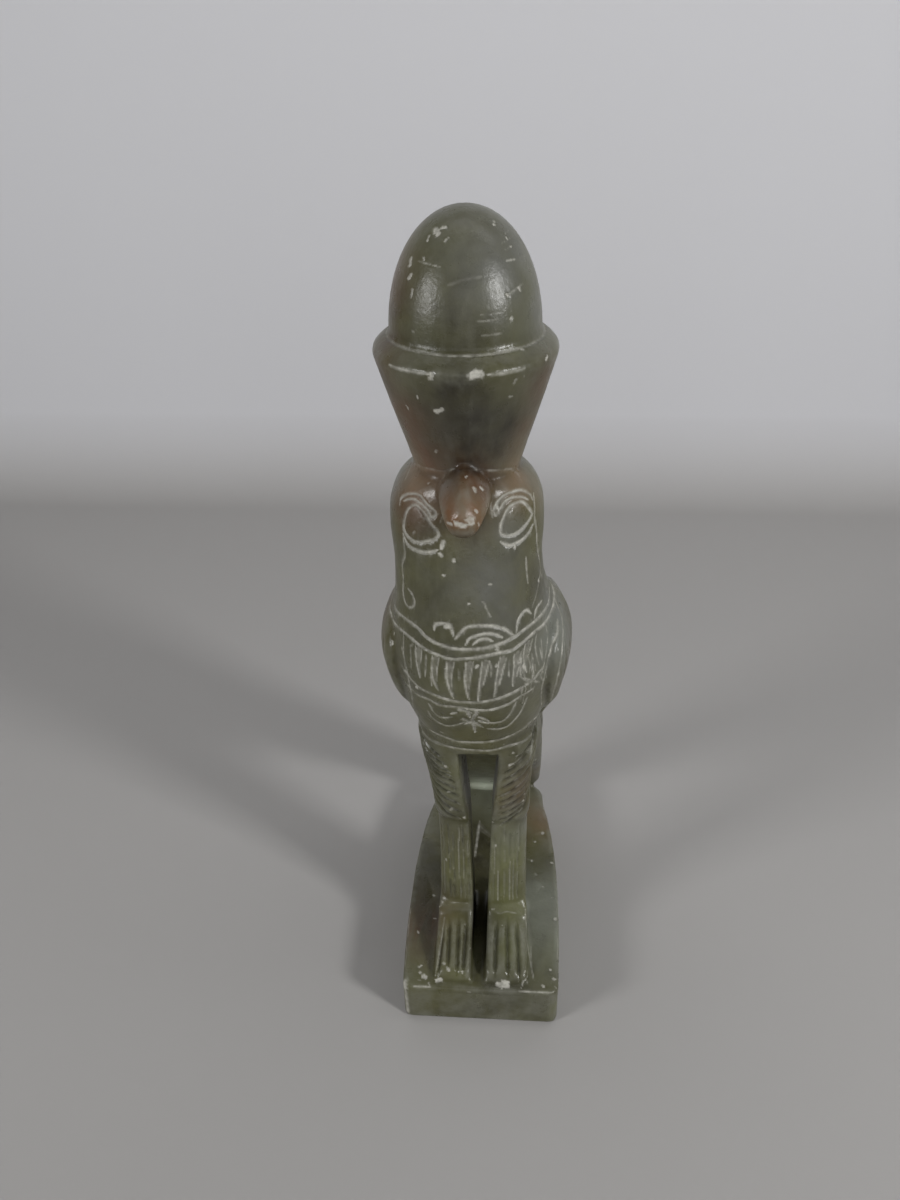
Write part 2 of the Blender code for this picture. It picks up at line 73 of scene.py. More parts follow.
# height: (front, back, half width at the front, half width at the back, squareness)
body = {
    "stations": {
        -2.6: (45.6, 47.2, 15.0, 15.0, 3.0),
        0.8: (45.0, 47.9, 18.6, 18.6, 3.0),
        6: (42.2, 48.0, 20.4, 20.4, 3.2),
        19: (33.6, 46.2, 20.6, 20.6, 3.2),
        41: (18.5, 41.5, 20.2, 20.2, 3.0),
        58: (6.0, 37.7, 19.2, 19.2, 2.8),
        69: (-3.5, 35.3, 18.6, 19.2, 2.7),
        76.5: (-14.0, 33.7, 18.3, 19.5, 2.6),
        80.5: (-24.5, 32.8, 18.3, 19.9, 2.5),
        84: (-28.3, 32.0, 18.8, 20.5, 2.5),
        91: (-29.9, 30.4, 21.1, 21.5, 2.4),
        99: (-32.2, 28.4, 23.3, 23.4, 2.4),
        107: (-34.8, 26.2, 24.2, 25.8, 2.35),
        115: (-36.5, 23.9, 24.9, 26.8, 2.35),
        122: (-37.0, 21.8, 24.0, 25.0, 2.35),
        129: (-36.6, 19.8, 22.7, 22.9, 2.35),
        137: (-35.0, 17.3, 21.1, 21.1, 2.35),
        147: (-32.2, 14.6, 20.5, 20.5, 2.4),
        156: (-29.8, 12.4, 21.0, 21.0, 2.4),
        161.5: (-28.4, 10.9, 20.7, 20.7, 2.35),
        166.3: (-27.2, 9.0, 19.2, 19.2, 2.3),
        170: (-26.4, 6.4, 16.8, 16.8, 2.2),
        173: (-24.8, 1.5, 13.2, 13.2, 2.1),
        175.2: (-22.2, -1.0, 10.4, 10.4, 2.0),
    },
    "around": 150,
    "step": 1.5,
}

# height: (front, back, half width, squareness) of the two legs taken as one block
legs = {
    "stations": {
        -3: (-24.2, -9.2, 14.9, 3.4),
        11: (-24.4, -9.4, 14.9, 3.4),
        33: (-23.6, -9.4, 14.5, 3.4),
        51: (-24.0, -8.6, 14.6, 3.2),
        54: (-25.2, -7.9, 15.4, 3.0),
        60: (-26.2, -6.6, 15.7, 2.9),
        70: (-27.0, -4.4, 16.7, 2.7),
        80: (-27.8, -1.0, 18.3, 2.6),
        84: (-28.1, 1.0, 18.6, 2.5),
        90: (-28.2, 3.0, 18.3, 2.4),
    },
    "slot": {  # height: (middle, half width) of the sawn slot
        -9: (-0.85, 2.5), 15: (-0.85, 2.6), 30: (-0.85, 3.1), 50: (-0.6, 3.6), 60: (-0.45, 4.5),
        70: (0.1, 5.5), 84.6: (0.5, 6.1),
    },
    "slotTop": 84.6,
    "slotBack": 1.0,
    "around": 110,
    "step": 1.0,
}

# place along the foot: (top over the base, outer side)
feet = {
    "stations": {
        -20: (14.5, 14.9),
        -24.6: (12.2, 15.2),
        -26.0: (9.3, 15.3),
        -34: (6.6, 15.4),
        -41: (4.4, 15.5),
        -44.8: (3.0, 15.2),
        -46.5: (0.8, 14.4),
    },
    "shoulder": 1.5,  # how far a foot drops at its outer side
}

# height: (front edge, back edge, how far it stands out), the edges as degrees round the body
wings = {
    "stations": {
        127: (84, 110, 0.3),
        124: (70, 126, 1.4),
        118: (60, 140, 2.2),
        109: (56, 152, 2.4),
        100: (60, 162, 2.0),
        91: (70, 168, 1.7),
        80: (81, 172, 1.0),
        64: (93, 172, 0.8),
        48: (103, 166, 0.8),
        33: (113, 158, 0.9),
        21: (123, 150, 0.8),
        15: (131, 143, 0.2),
    },
    "across": 40,
    "deep": 1.5,
    "fuller": 0.9,  # how much more the right wing stands out
}

crown = {
    "x": 0.4,
    "y": -10.0,
    "profile": (  # (radius, height) up the cup, over the rim's edge and in to the bulb's foot
        (12.2, 166.0), (14.2, 174.0), (15.8, 179.6), (17.7, 185.6), (19.5, 191.4), (21.2, 197.2),
        (22.75, 202.4), (23.0, 203.5), (22.5, 204.6), (21.5, 205.7), (20.2, 206.7), (19.3, 207.3),
    ),
    "shoulder": 207.6,  # height where the bulb begins
    "bulb": 18.6,  # its radius
    "power": 2.05,  # of its egg shape; 2 would be an ellipse
    "around": 150,
}

# place along the beak: (height of its middle, half width, half height)
beak = {
    "stations": {
        -20: (171.6, 6.6, 6.4),
        -27: (171.6, 6.6, 6.6),
        -31.5: (170.7, 6.0, 6.1),
        -35: (169.6, 5.0, 5.4),
        -37.4: (168.6, 3.9, 4.3),
        -38.8: (168.6, 2.3, 2.7),
    },
    "around": 56,
    "ridge": 0.42,  # how far the upper half narrows to a ridge
}


def smoothBetween(stations, at):  # a curve through every station that never overshoots
    keys = sorted(stations)
    if at <= keys[0]:
        return tuple(stations[keys[0]])
    if at >= keys[-1]:
        return tuple(stations[keys[-1]])
    i = max(k for k in range(len(keys) - 1) if keys[k] <= at)
    span = keys[i + 1] - keys[i]
    t = (at - keys[i]) / span

    def slope(k, column):
        if k == 0 or k == len(keys) - 1:
            return 0.0
        before = (stations[keys[k]][column] - stations[keys[k - 1]][column]) / (keys[k] - keys[k - 1])
        after = (stations[keys[k + 1]][column] - stations[keys[k]][column]) / (keys[k + 1] - keys[k])
        return 0.0 if before * after <= 0 else 2 * before * after / (before + after)

    found = []
    for column in range(len(stations[keys[i]])):
        start, end = stations[keys[i]][column], stations[keys[i + 1]][column]
        found.append(
            start * (1 + 2 * t) * (1 - t) ** 2
            + slope(i, column) * span * t * (1 - t) ** 2
            + end * t * t * (3 - 2 * t)
            - slope(i + 1, column) * span * t * t * (1 - t)
        )
    return tuple(found)


sectionCache = {}


def sectionAt(name, stations, height):
    key = (name, round(height, 3))
    if key not in sectionCache:
        sectionCache[key] = smoothBetween(stations, height)
    return sectionCache[key]


def eased(t):
    t = min(1.0, max(0.0, t))
    return t * t * (3 - 2 * t)


def inWorld(x, y, height):
    return Vector((x + sectionAt("lean", figure["lean"], height)[0], y, height + base["thickness"]))


def rounded(angle, squareness):
    s, c = math.sin(angle), math.cos(angle)
    power = 2 / squareness
    return math.copysign(abs(s) ** power, s), math.copysign(abs(c) ** power, c)


def bodyPoint(height, angle):
    front, back, halfFront, halfBack, squareness = sectionAt("body", body["stations"], height)
    sideways, forwards = rounded(angle, squareness)
    half = halfFront + (halfBack - halfFront) * eased((0.75 - forwards) / 1.5)
    return sideways * half, (front + back) / 2 - forwards * (back - front) / 2


def legPoint(height, angle):
    front, back, half, squareness = sectionAt("legs", legs["stations"], height)
    sideways, forwards = rounded(angle, squareness)
    return sideways * half, (front + back) / 2 - forwards * (back - front) / 2


def slotSide(side, height):  # how far the slot reaches from the figure's middle, on this side
    middle, half = sectionAt("slot", legs["slot"], height)
    return side * middle + half


def steps(low, high, step, extra=()):
    count = max(1, round((high - low) / step))
    return sorted(set([round(low + (high - low) * k / count, 4) for k in range(count + 1)] + list(extra)))


# Each form is a closed skin through rings, and all the skins are fused later

points, faces = [], []


def addSkin(rings):
    start, size = len(points), len(rings[0])
    for ring in rings:
        points.extend(ring)
    for r in range(len(rings) - 1):
        for k in range(size):
            n = (k + 1) % size
            low = start + r * size
            faces.append((low + k, low + n, low + size + n, low + size + k))
    faces.append(tuple(start + k for k in reversed(range(size))))
    faces.append(tuple(start + (len(rings) - 1) * size + k for k in range(size)))


def bodyRings():
    top = legs["slotTop"]
    rings = []
    for height in steps(min(body["stations"]), max(body["stations"]), body["step"], (top - 0.1, top + 0.1)):
        ring = []
        for k in range(body["around"]):
            x, y = bodyPoint(height, 2 * math.pi * (k + 0.5) / body["around"])
            if height < top and -slotSide(-1, height) < x < slotSide(1, height):
                y = max(y, legs["slotBack"])
            ring.append(inWorld(x, y, height))
        rings.append(ring)
    return rings


def legRings(side):
    low, high, top = min(legs["stations"]), max(legs["stations"]), legs["slotTop"]
    rings = []
    for height in steps(low, high, legs["step"], (top - 0.1, top + 0.1)):
        inner = slotSide(side, height) if height < top else 0.0
        ring = []
        for k in range(legs["around"]):
            x, y = legPoint(height, 2 * math.pi * (k + 0.5) / legs["around"])
            ring.append(inWorld(side * max(side * x, inner), y, height))
        rings.append(ring)
    return rings


def footRings(side):
    inner = slotSide(side, 0)
    rings = []
    for y in steps(min(feet["stations"]), max(feet["stations"]), 0.9, (-26.0, -24.6)):
        top, outer = sectionAt("feet", feet["stations"], y)
        ring = [inWorld(side * inner, y, -3)]
        for k in range(31):
            across = k / 30
            x = inner + (outer - inner) * across
            ring.append(inWorld(side * x, y, top - feet["shoulder"] * across**4))
        ring.append(inWorld(side * outer, y, -3))
        rings.append(ring)
    return rings


def outwardFrom(pointAt, height, angle):
    x, y = pointAt(height, angle)
    xn, yn = pointAt(height, angle + 0.02)
    return x, y, Vector((yn - y, x - xn, 0)).normalized()


def wingPoint(side, height, across, lift):
    fore, aft, _ = sectionAt("wings", wings["stations"], height)
    x, y, outward = outwardFrom(bodyPoint, height, math.radians(fore + (aft - fore) * across))
    return inWorld(side * (x + outward.x * lift), y + outward.y * lift, height)


def wingRings(side):
    rings = []
    for height in steps(min(wings["stations"]), max(wings["stations"]), 1.4):
        out = sectionAt("wings", wings["stations"], height)[2]
        out += wings["fuller"] * min(1.0, out) if side > 0 else 0
        outer, inner = [], []
        for k in range(wings["across"] + 1):
            across = k / wings["across"]
            rim = eased(min(across, 1 - across) * 14)
            outer.append(wingPoint(side, height, across, out * (0.55 + 0.45 * rim)))
            inner.append(wingPoint(side, height, across, -wings["deep"]))
        rings.append(outer + inner[::-1])
    return rings


def crownRings():
    profile = list(crown["profile"]) + [(crown["bulb"] + 0.1, crown["shoulder"] - 0.3)]
    tall = figure["height"] - crown["shoulder"]
    for k in range(34):
        up = 0.01 + 0.985 * math.sin(math.pi / 2 * k / 33)
        radius = crown["bulb"] * (1 - up ** crown["power"]) ** (1 / crown["power"])
        profile.append((radius, crown["shoulder"] + tall * up))
    rings = []
    for radius, height in profile:
        ring = []
        for k in range(crown["around"]):
            a = 2 * math.pi * k / crown["around"]
            stray = 1 + 0.005 * math.sin(2 * a + 0.8) + 0.003 * math.sin(3 * a + height * 0.05)  # cut by eye
            x, y = radius * stray * math.cos(a), radius * stray * math.sin(a)
            ring.append(inWorld(crown["x"] + x, crown["y"] + y, height))
        rings.append(ring)
    return rings


def beakRings():
    rings = []
    for y in steps(min(beak["stations"]), max(beak["stations"]), 0.7)[::-1]:
        middle, half, tall = sectionAt("beak", beak["stations"], y)
        ring = []
        for k in range(beak["around"]):
            a = 2 * math.pi * k / beak["around"]
            narrow = 1 - beak["ridge"] * max(0.0, math.sin(a)) ** 1.5
            ring.append(inWorld(0.6 + half * math.cos(a) * narrow, y, middle + tall * math.sin(a)))
        rings.append(ring)
    return rings


def baseOutline(inset):
    long = base["back"] - base["front"]
    right = []
    for k in range(9):
        a = math.pi / 2 * k / 8
        x = base["half"] * base["sides"][0][0] - base["corner"] * (1 - math.sin(a))
        right.append((x - inset, base["front"] + inset + base["corner"] * (1 - math.cos(a))))
    turnShare = max(base["sides"])
    for share in steps(0.045, turnShare, 0.03)[:-1]:
        half = base["half"] * smoothBetween(base["sides"], share)[0]
        right.append((half - inset, base["front"] + long * share))
    turn = base["front"] + long * turnShare
    for k in range(26):
        a = math.pi / 2 * k / 26
        x = base["half"] * base["sides"][turnShare][0] * math.cos(a) ** (2 / base["squareness"])
        y = turn + (base["back"] - turn) * math.sin(a) ** (2 / base["squareness"])
        right.append((x - inset * math.cos(a), y - inset * math.sin(a)))
    return right + [(0.0, base["back"] - inset)] + [(-x, y) for x, y in reversed(right)]


def baseRings():
    edge, tall = base["edge"], base["thickness"]
    turns = [math.pi / 2 * k / 4 for k in range(5)]
    levels = [(edge * (1 - math.sin(a)), edge * (1 - math.cos(a))) for a in turns]
    levels += [(0.0, z) for z in steps(edge, tall - edge, 1.6)[1:-1]]
    levels += [(edge * (1 - math.cos(a)), tall - edge * (1 - math.sin(a))) for a in turns]
    rings = []
    for inset, z in levels:
        ring = []
        for x, y in baseOutline(inset):
            stray = max(noise.noise(Vector((x * 0.05, y * 0.05, z * 0.08))), 0) * base["waver"]
            ring.append(Vector((x - math.copysign(stray, x), y, z)))
        rings.append(ring)
    return rings


addSkin(bodyRings())
for side in (1, -1):
    addSkin(legRings(side))
    addSkin(footRings(side))
    addSkin(wingRings(side))
addSkin(crownRings())
addSkin(beakRings())
addSkin(baseRings())
print("forms:", len(points), "points")


def finalMesh(obj, name):  # the object's mesh with its modifiers applied; the object itself goes
    depsgraph = bpy.context.evaluated_depsgraph_get()
    mesh = bpy.data.meshes.new_from_object(obj.evaluated_get(depsgraph))
    bpy.data.objects.remove(obj)
    mesh.name = name
    return mesh


def fuseForms():
    mesh = bpy.data.meshes.new("forms")
    mesh.from_pydata([p * mm for p in points], [], faces)
    bm = bmesh.new()
    bm.from_mesh(mesh)
    bmesh.ops.triangulate(bm, faces=[f for f in bm.faces if len(f.verts) > 4])
    bmesh.ops.recalc_face_normals(bm, faces=bm.faces)
    bm.to_mesh(mesh)
    bm.free()
    obj = bpy.data.objects.new("forms", mesh)
    bpy.context.scene.collection.objects.link(obj)
    fuse = obj.modifiers.new("fuse", "REMESH")
    fuse.mode = "VOXEL"
    fuse.voxel_size = figure["voxel"] * mm
    fuse.adaptivity = 0.0
    soften = obj.modifiers.new("soften", "SMOOTH")
    soften.factor = 0.5
    soften.iterations = figure["softening"]
    return finalMesh(obj, "falconStatue")


stoneMesh = fuseForms()
print("fused skin:", len(stoneMesh.polygons), "faces")


# Carving. Every line is drawn on the fused skin, and the skin then sinks along it.

skinPoints = [v.co / mm for v in stoneMesh.vertices]
skinTree = BVHTree.FromPolygons(skinPoints, [p.vertices[:] for p in stoneMesh.polygons])
cuts = {"knife": [], "gouge": [], "chip": []}
seedShift = Vector((figure["seed"], 0, 0))


def firstHit(start, direction):
    hit = skinTree.ray_cast(start, direction)[0]
    return hit if hit else skinTree.find_nearest(start)[0]


def fromFront(x, height):
    return firstHit(inWorld(x, -90, height), Vector((0, 1, 0)))


def fromAbove(x, y):  # on the base and the feet, under the breast
    return firstHit(Vector((x, y, base["thickness"] + 24)), Vector((0, 0, -1)))


def onSkin(x, y, height):  # the nearest place on the fused skin
    return skinTree.find_nearest(inWorld(x, y, height))[0]


def roundBody(degrees, height):
    x, y, outward = outwardFrom(bodyPoint, height, math.radians(degrees))
    return firstHit(inWorld(x + outward.x * 12, y + outward.y * 12, height), -outward)


def roundLegs(degrees, height):
    x, y, outward = outwardFrom(legPoint, height, math.radians(degrees))
    return firstHit(inWorld(x + outward.x * 8, y + outward.y * 8, height), -outward)


def alongCurve(controls, closed=False, spacing=0.22):  # a smooth curve through the points
    count = len(controls)
    out = []
    for i in range(count if closed else count - 1):
        near = [(i + k) % count if closed else min(max(i + k, 0), count - 1) for k in (-1, 0, 1, 2)]
        p = [controls[n] for n in near]
        pieces = max(2, round(math.dist(p[1], p[2]) / spacing))
        for k in range(pieces):
            t = k / pieces
            weights = (-t + 2 * t**2 - t**3, 2 - 5 * t**2 + 3 * t**3, t + 4 * t**2 - 3 * t**3, -(t**2) + t**3)
            out.append([sum(w * q[c] for w, q in zip(weights, p)) / 2 for c in range(len(p[0]))])
    if not closed:
        out.append(list(controls[-1]))
    return out


def cutLine(
    drawOn, controls, cut="knife", width=1.0, depth=0.5, chalk=1.0, closed=False, taper=2.0, broken=0.0
):
    run = [drawOn(*at) for at in alongCurve(controls, closed)]
    first, last = width if isinstance(width, tuple) else (width, width)
    travelled = [0.0]
    for a, b in zip(run, run[1:]):
        travelled.append(travelled[-1] + (b - a).length)
    total = max(travelled[-1], 0.01)
    for place, s in zip(run, travelled):
        share = 1.0 if closed or not taper else eased(min(s, total - s) / taper + 0.15)
        wobble = noise.noise(place * 0.35 + seedShift)
        half = (first + (last - first) * s / total) / 2 * (0.5 + 0.5 * share) * (1 + 0.25 * wobble)
        fill = chalk * (1 - broken * eased(0.5 + 1.7 * noise.noise(place * 0.55 + seedShift * 2)))
        cuts[cut].append((*place, half, depth * share * (1 + 0.25 * wobble), fill))


def chipAt(place, long, wide, turn=0.0, depth=0.22, chalk=1.0):  # a small bruise, as long and wide as said
    normal = skinTree.find_nearest(place)[1]
    across = normal.cross(Vector((0, 0, 1)))
    across = across.normalized() if across.length > 0.1 else Vector((1, 0, 0))
    up = across.cross(normal)
    run = across * math.cos(math.radians(turn)) + up * math.sin(math.radians(turn))
    reach = max(0.0, (long - wide) / 2)
    ends = (place - run * reach, place + run * (reach + 0.05))
    cutLine(lambda *at: skinTree.find_nearest(at)[0], ends, "chip", wide, depth, chalk, taper=0)


def angleAcross(pointAt, height, sideways):
    low, high = -math.pi / 2, math.pi / 2
    for _ in range(26):
        middle = (low + high) / 2
        if pointAt(height, middle)[0] < sideways:
            low = middle
        else:
            high = middle
    return math.degrees((low + high) / 2)


# Rings and hems are (degrees, height) round the body, and the rest (sideways, height) seen from the front
collar = {
    "rings": (
        ((-180, 132.5), (-140, 131.5), (-105, 130.4), (-76, 131.2), (-51.5, 133.4), (-35, 133.6),
         (-24.5, 131.8), (-14.5, 130.7), (-5, 130.1), (2.5, 130.1), (9.5, 130.4), (20.5, 131), (33.5, 132),
         (47, 132.5), (65, 132), (87, 130.4), (105, 130.2), (140, 131.5), (180, 132.5)),
        ((-180, 129), (-140, 128), (-110, 126.6), (-84, 126), (-52, 129.1), (-38, 129.2), (-29, 128.4),
         (-16, 127.4), (-8, 126.8), (0.5, 127.3), (17, 128.4), (27.5, 128.2), (37, 129.1), (51.5, 129.8),
         (72.5, 128.4), (100, 126.6), (140, 128), (180, 129)),
    ),
    "hems": (
        ((-50, 117.2), (-39, 114.6), (-31.5, 113.2), (-21.5, 112.6), (-12, 111.8), (-4, 111.4), (4, 111.5),
         (13.5, 112.4), (23, 113.5), (32.5, 114.6), (42, 115.5), (50, 117)),
        ((-46, 110.4), (-38.5, 109), (-26, 109.5), (-17.5, 108.4), (-6.5, 108.9), (6, 107.8), (13, 108.2),
         (21.5, 109.2), (30.5, 110.9), (41.5, 111.7)),
        ((-62, 91.8), (-36, 91.6), (-20.8, 91.8), (-9, 91.1), (0.7, 91.4), (10, 91.6), (23.5, 92.3),
         (35, 92.9), (47, 93.3), (61, 91.4)),
        ((-60, 87.4), (-41, 87), (-24.5, 87.1), (-12.6, 87.6), (-0.6, 87.5), (9, 87.2), (24, 87.6),
         (39.5, 87), (52, 87), (64, 87.2)),
    ),
    "petalGaps": (  # from the upper ring down, wide at the top
        ((-8.5, 126.8), (-9.3, 122.6), (-9.5, 118.2), (-8.5, 114.8)),
        ((-4.5, 125.9), (-5.4, 120.7), (-5.2, 116.6), (-4.4, 112.6)),
        ((0.7, 126.3), (-0.2, 121.2), (-0.5, 116.7), (-0.1, 112.6)),
        ((5.1, 126.4), (4.1, 121.9), (3.2, 117.6), (2.3, 111.7)),
        ((9.7, 126.9), (8.7, 122.6), (7.7, 117.8), (6.9, 113.2)),
        ((13.5, 126.8), (13.1, 122.5), (12.5, 119.3), (12, 116.2)),
        ((-13.3, 128.1), (-13.9, 122.7), (-13.6, 117.5)),
        ((16.6, 128.4), (15.7, 124.6), (15.9, 119.4)),
    ),
    "rubbedStrokes": 22,  # short strokes over the much scratched end
    "scratches": (
        ((-11.2, 126.6), (-12.3, 118.6)), ((-17.9, 129), (-18.5, 118.6), (-16.2, 113.8)),
        ((-15.9, 127), (-16.3, 119.5)), ((18.8, 129.1), (18.2, 125.6), (19.1, 119)),
        ((21.2, 128.1), (21.6, 124.1), (20.6, 118.4), (19.4, 114)), ((14.8, 127.4), (14.2, 121.8)),
        ((17.2, 124.5), (17.6, 117.2)), ((19.8, 126.4), (20.2, 119.2)), ((13.8, 119), (16.8, 114.6)),
        ((11.2, 125.6), (10.8, 119.8)), ((15.2, 117.6), (19.2, 112.4)), ((-10.4, 121), (-10.6, 116.2)),
        ((-2.4, 123.8), (-2.6, 119.8)), ((6.4, 125.4), (6.2, 121)),
    ),
    "sun": (
        ((-2.8, 132.9), (-1.5, 134.6), (0.7, 136.4), (3.9, 136.7), (7.1, 136.3), (10.3, 134.8),
         (12.6, 132.2)),
        ((-0.1, 131.5), (0.8, 133), (2.7, 133.9), (4.9, 134.4), (7.6, 134), (9.7, 132.5)),
        ((1.8, 131.5), (3.5, 132.8), (5.4, 133), (7, 132.1)),
    ),
    "hooks": (
        ((-8.4, 134.6), (-8, 136.1), (-6.3, 136.9), (-4.1, 136.8), (-3.7, 135.7), (-3.2, 133.7)),
        ((13.3, 132.7), (13.8, 135.4), (14.9, 137), (16.2, 137.1), (17.3, 135.3)),
        ((18.1, 133.4), (18.9, 135.2), (20.3, 134.9)),
    ),
    "swags": (
        ((-12.3, 107.5), (-11, 103.7), (-8.7, 102.4), (-5.6, 103.9)),
        ((-12.9, 103.2), (-12.2, 100.9), (-10.3, 99.1), (-7.3, 98.6), (-4.1, 100.3), (-2.2, 101.9)),
        ((12.6, 109.4), (11.3, 105.2), (9.1, 101.8), (6.4, 101.1), (3.9, 101.9)),
        ((15.6, 109.2), (15, 106.7), (13.1, 102.1), (10.3, 98.5), (7.4, 97.7), (4, 98.6)),
    ),
    "leaves": (  # (from, to, width) of the small leaf cuts that make the flower
        ((-3.4, 107.9), (0.4, 106.4), 1.6), ((-1.2, 107.6), (-0.6, 104.2), 1.3),
        ((1.4, 107.2), (0.2, 103.0), 1.2), ((0.1, 103.4), (0.5, 96.6), 1.7),
        ((0.0, 102.2), (-2.4, 100.4), 1.3), ((0.6, 101.6), (2.9, 99.2), 1.4),
        ((2.0, 104.6), (4.9, 102.2), 1.1), ((1.8, 102.8), (4.6, 100.9), 1.0),
        ((-2.6, 103.6), (-1.0, 101.8), 1.0), ((-5.9, 105.2), (-4.0, 106.4), 1.0),
        ((3.2, 108.0), (6.2, 107.4), 0.9),
    ),
    "petalHalf": 0.95,  # half the width of a petal gap at its top
    "leafTip": 0.5,  # width at the far end of a leaf cut
    "leafFuller": 1.35,  # how much wider the leaf cuts are than the list says
    "marks": {  # how each kind of line is cut
        "ring": {"width": 1.0, "depth": 0.5, "broken": 0.35},
        "upperHem": {"width": 1.1, "depth": 0.55, "broken": 0.45},
        "lowerHem": {"width": 0.95, "depth": 0.55, "chalk": 0.75, "broken": 0.45},
        "petalGap": {
            "cut": "chip", "width": (1.9, 0.5), "depth": 0.3, "chalk": 0.36, "taper": 0.8, "broken": 0.3,
        },
        "petalLeft": {"width": 0.62, "depth": 0.45, "broken": 0.15},
        "petalRight": {"width": 0.55, "depth": 0.35, "chalk": 0.95, "broken": 0.3},
        "scratch": {"width": 0.6, "depth": 0.3, "chalk": 0.85, "broken": 0.6},
        "rubbed": {"depth": 0.2, "chalk": 0.8, "broken": 0.5},
        "ornament": {"width": 0.95, "depth": 0.45, "broken": 0.15},
        "swag": {"width": 0.8, "depth": 0.42, "chalk": 0.85, "broken": 0.3},
        "leaf": {"cut": "chip", "depth": 0.4, "chalk": 0.95, "taper": 0.5, "broken": 0.2},
    },
}


def carveCollar():
    marks = collar["marks"]
    for ring in collar["rings"]:
        cutLine(roundBody, ring, **marks["ring"])
    for n, hem in enumerate(collar["hems"]):
        cutLine(roundBody, hem, **marks["upperHem" if n < 2 else "lowerHem"])
    for gap in collar["petalGaps"]:
        cutLine(fromFront, gap, **marks["petalGap"])
        spread = [collar["petalHalf"] * (1 - n / len(gap)) for n in range(len(gap))]
        left = [(x - half, height) for (x, height), half in zip(gap, spread)]
        cutLine(fromFront, left, **marks["petalLeft"])
        right = [(x + half, height) for (x, height), half in zip(gap[:-1], spread)]
        cutLine(fromFront, right, **marks["petalRight"])
    for scratch in collar["scratches"]:
        cutLine(fromFront, scratch, **marks["scratch"])
    strokes = random.Random(figure["seed"] + 2)
    for _ in range(collar["rubbedStrokes"]):
        x, height = strokes.uniform(12.5, 21), strokes.uniform(112, 127)
        end = (x + strokes.uniform(-1.2, 1.2), height - strokes.uniform(2, 6))
        cutLine(fromFront, ((x, height), end), width=strokes.uniform(0.35, 0.7), **marks["rubbed"])
    for line in collar["sun"] + collar["hooks"]:
        cutLine(fromFront, line, **marks["ornament"])
    for line in collar["swags"]:
        cutLine(fromFront, line, **marks["swag"])
    for start, end, width in collar["leaves"]:
        wide = (width * collar["leafFuller"], collar["leafTip"])
        cutLine(fromFront, (start, end), width=wide, **marks["leaf"])


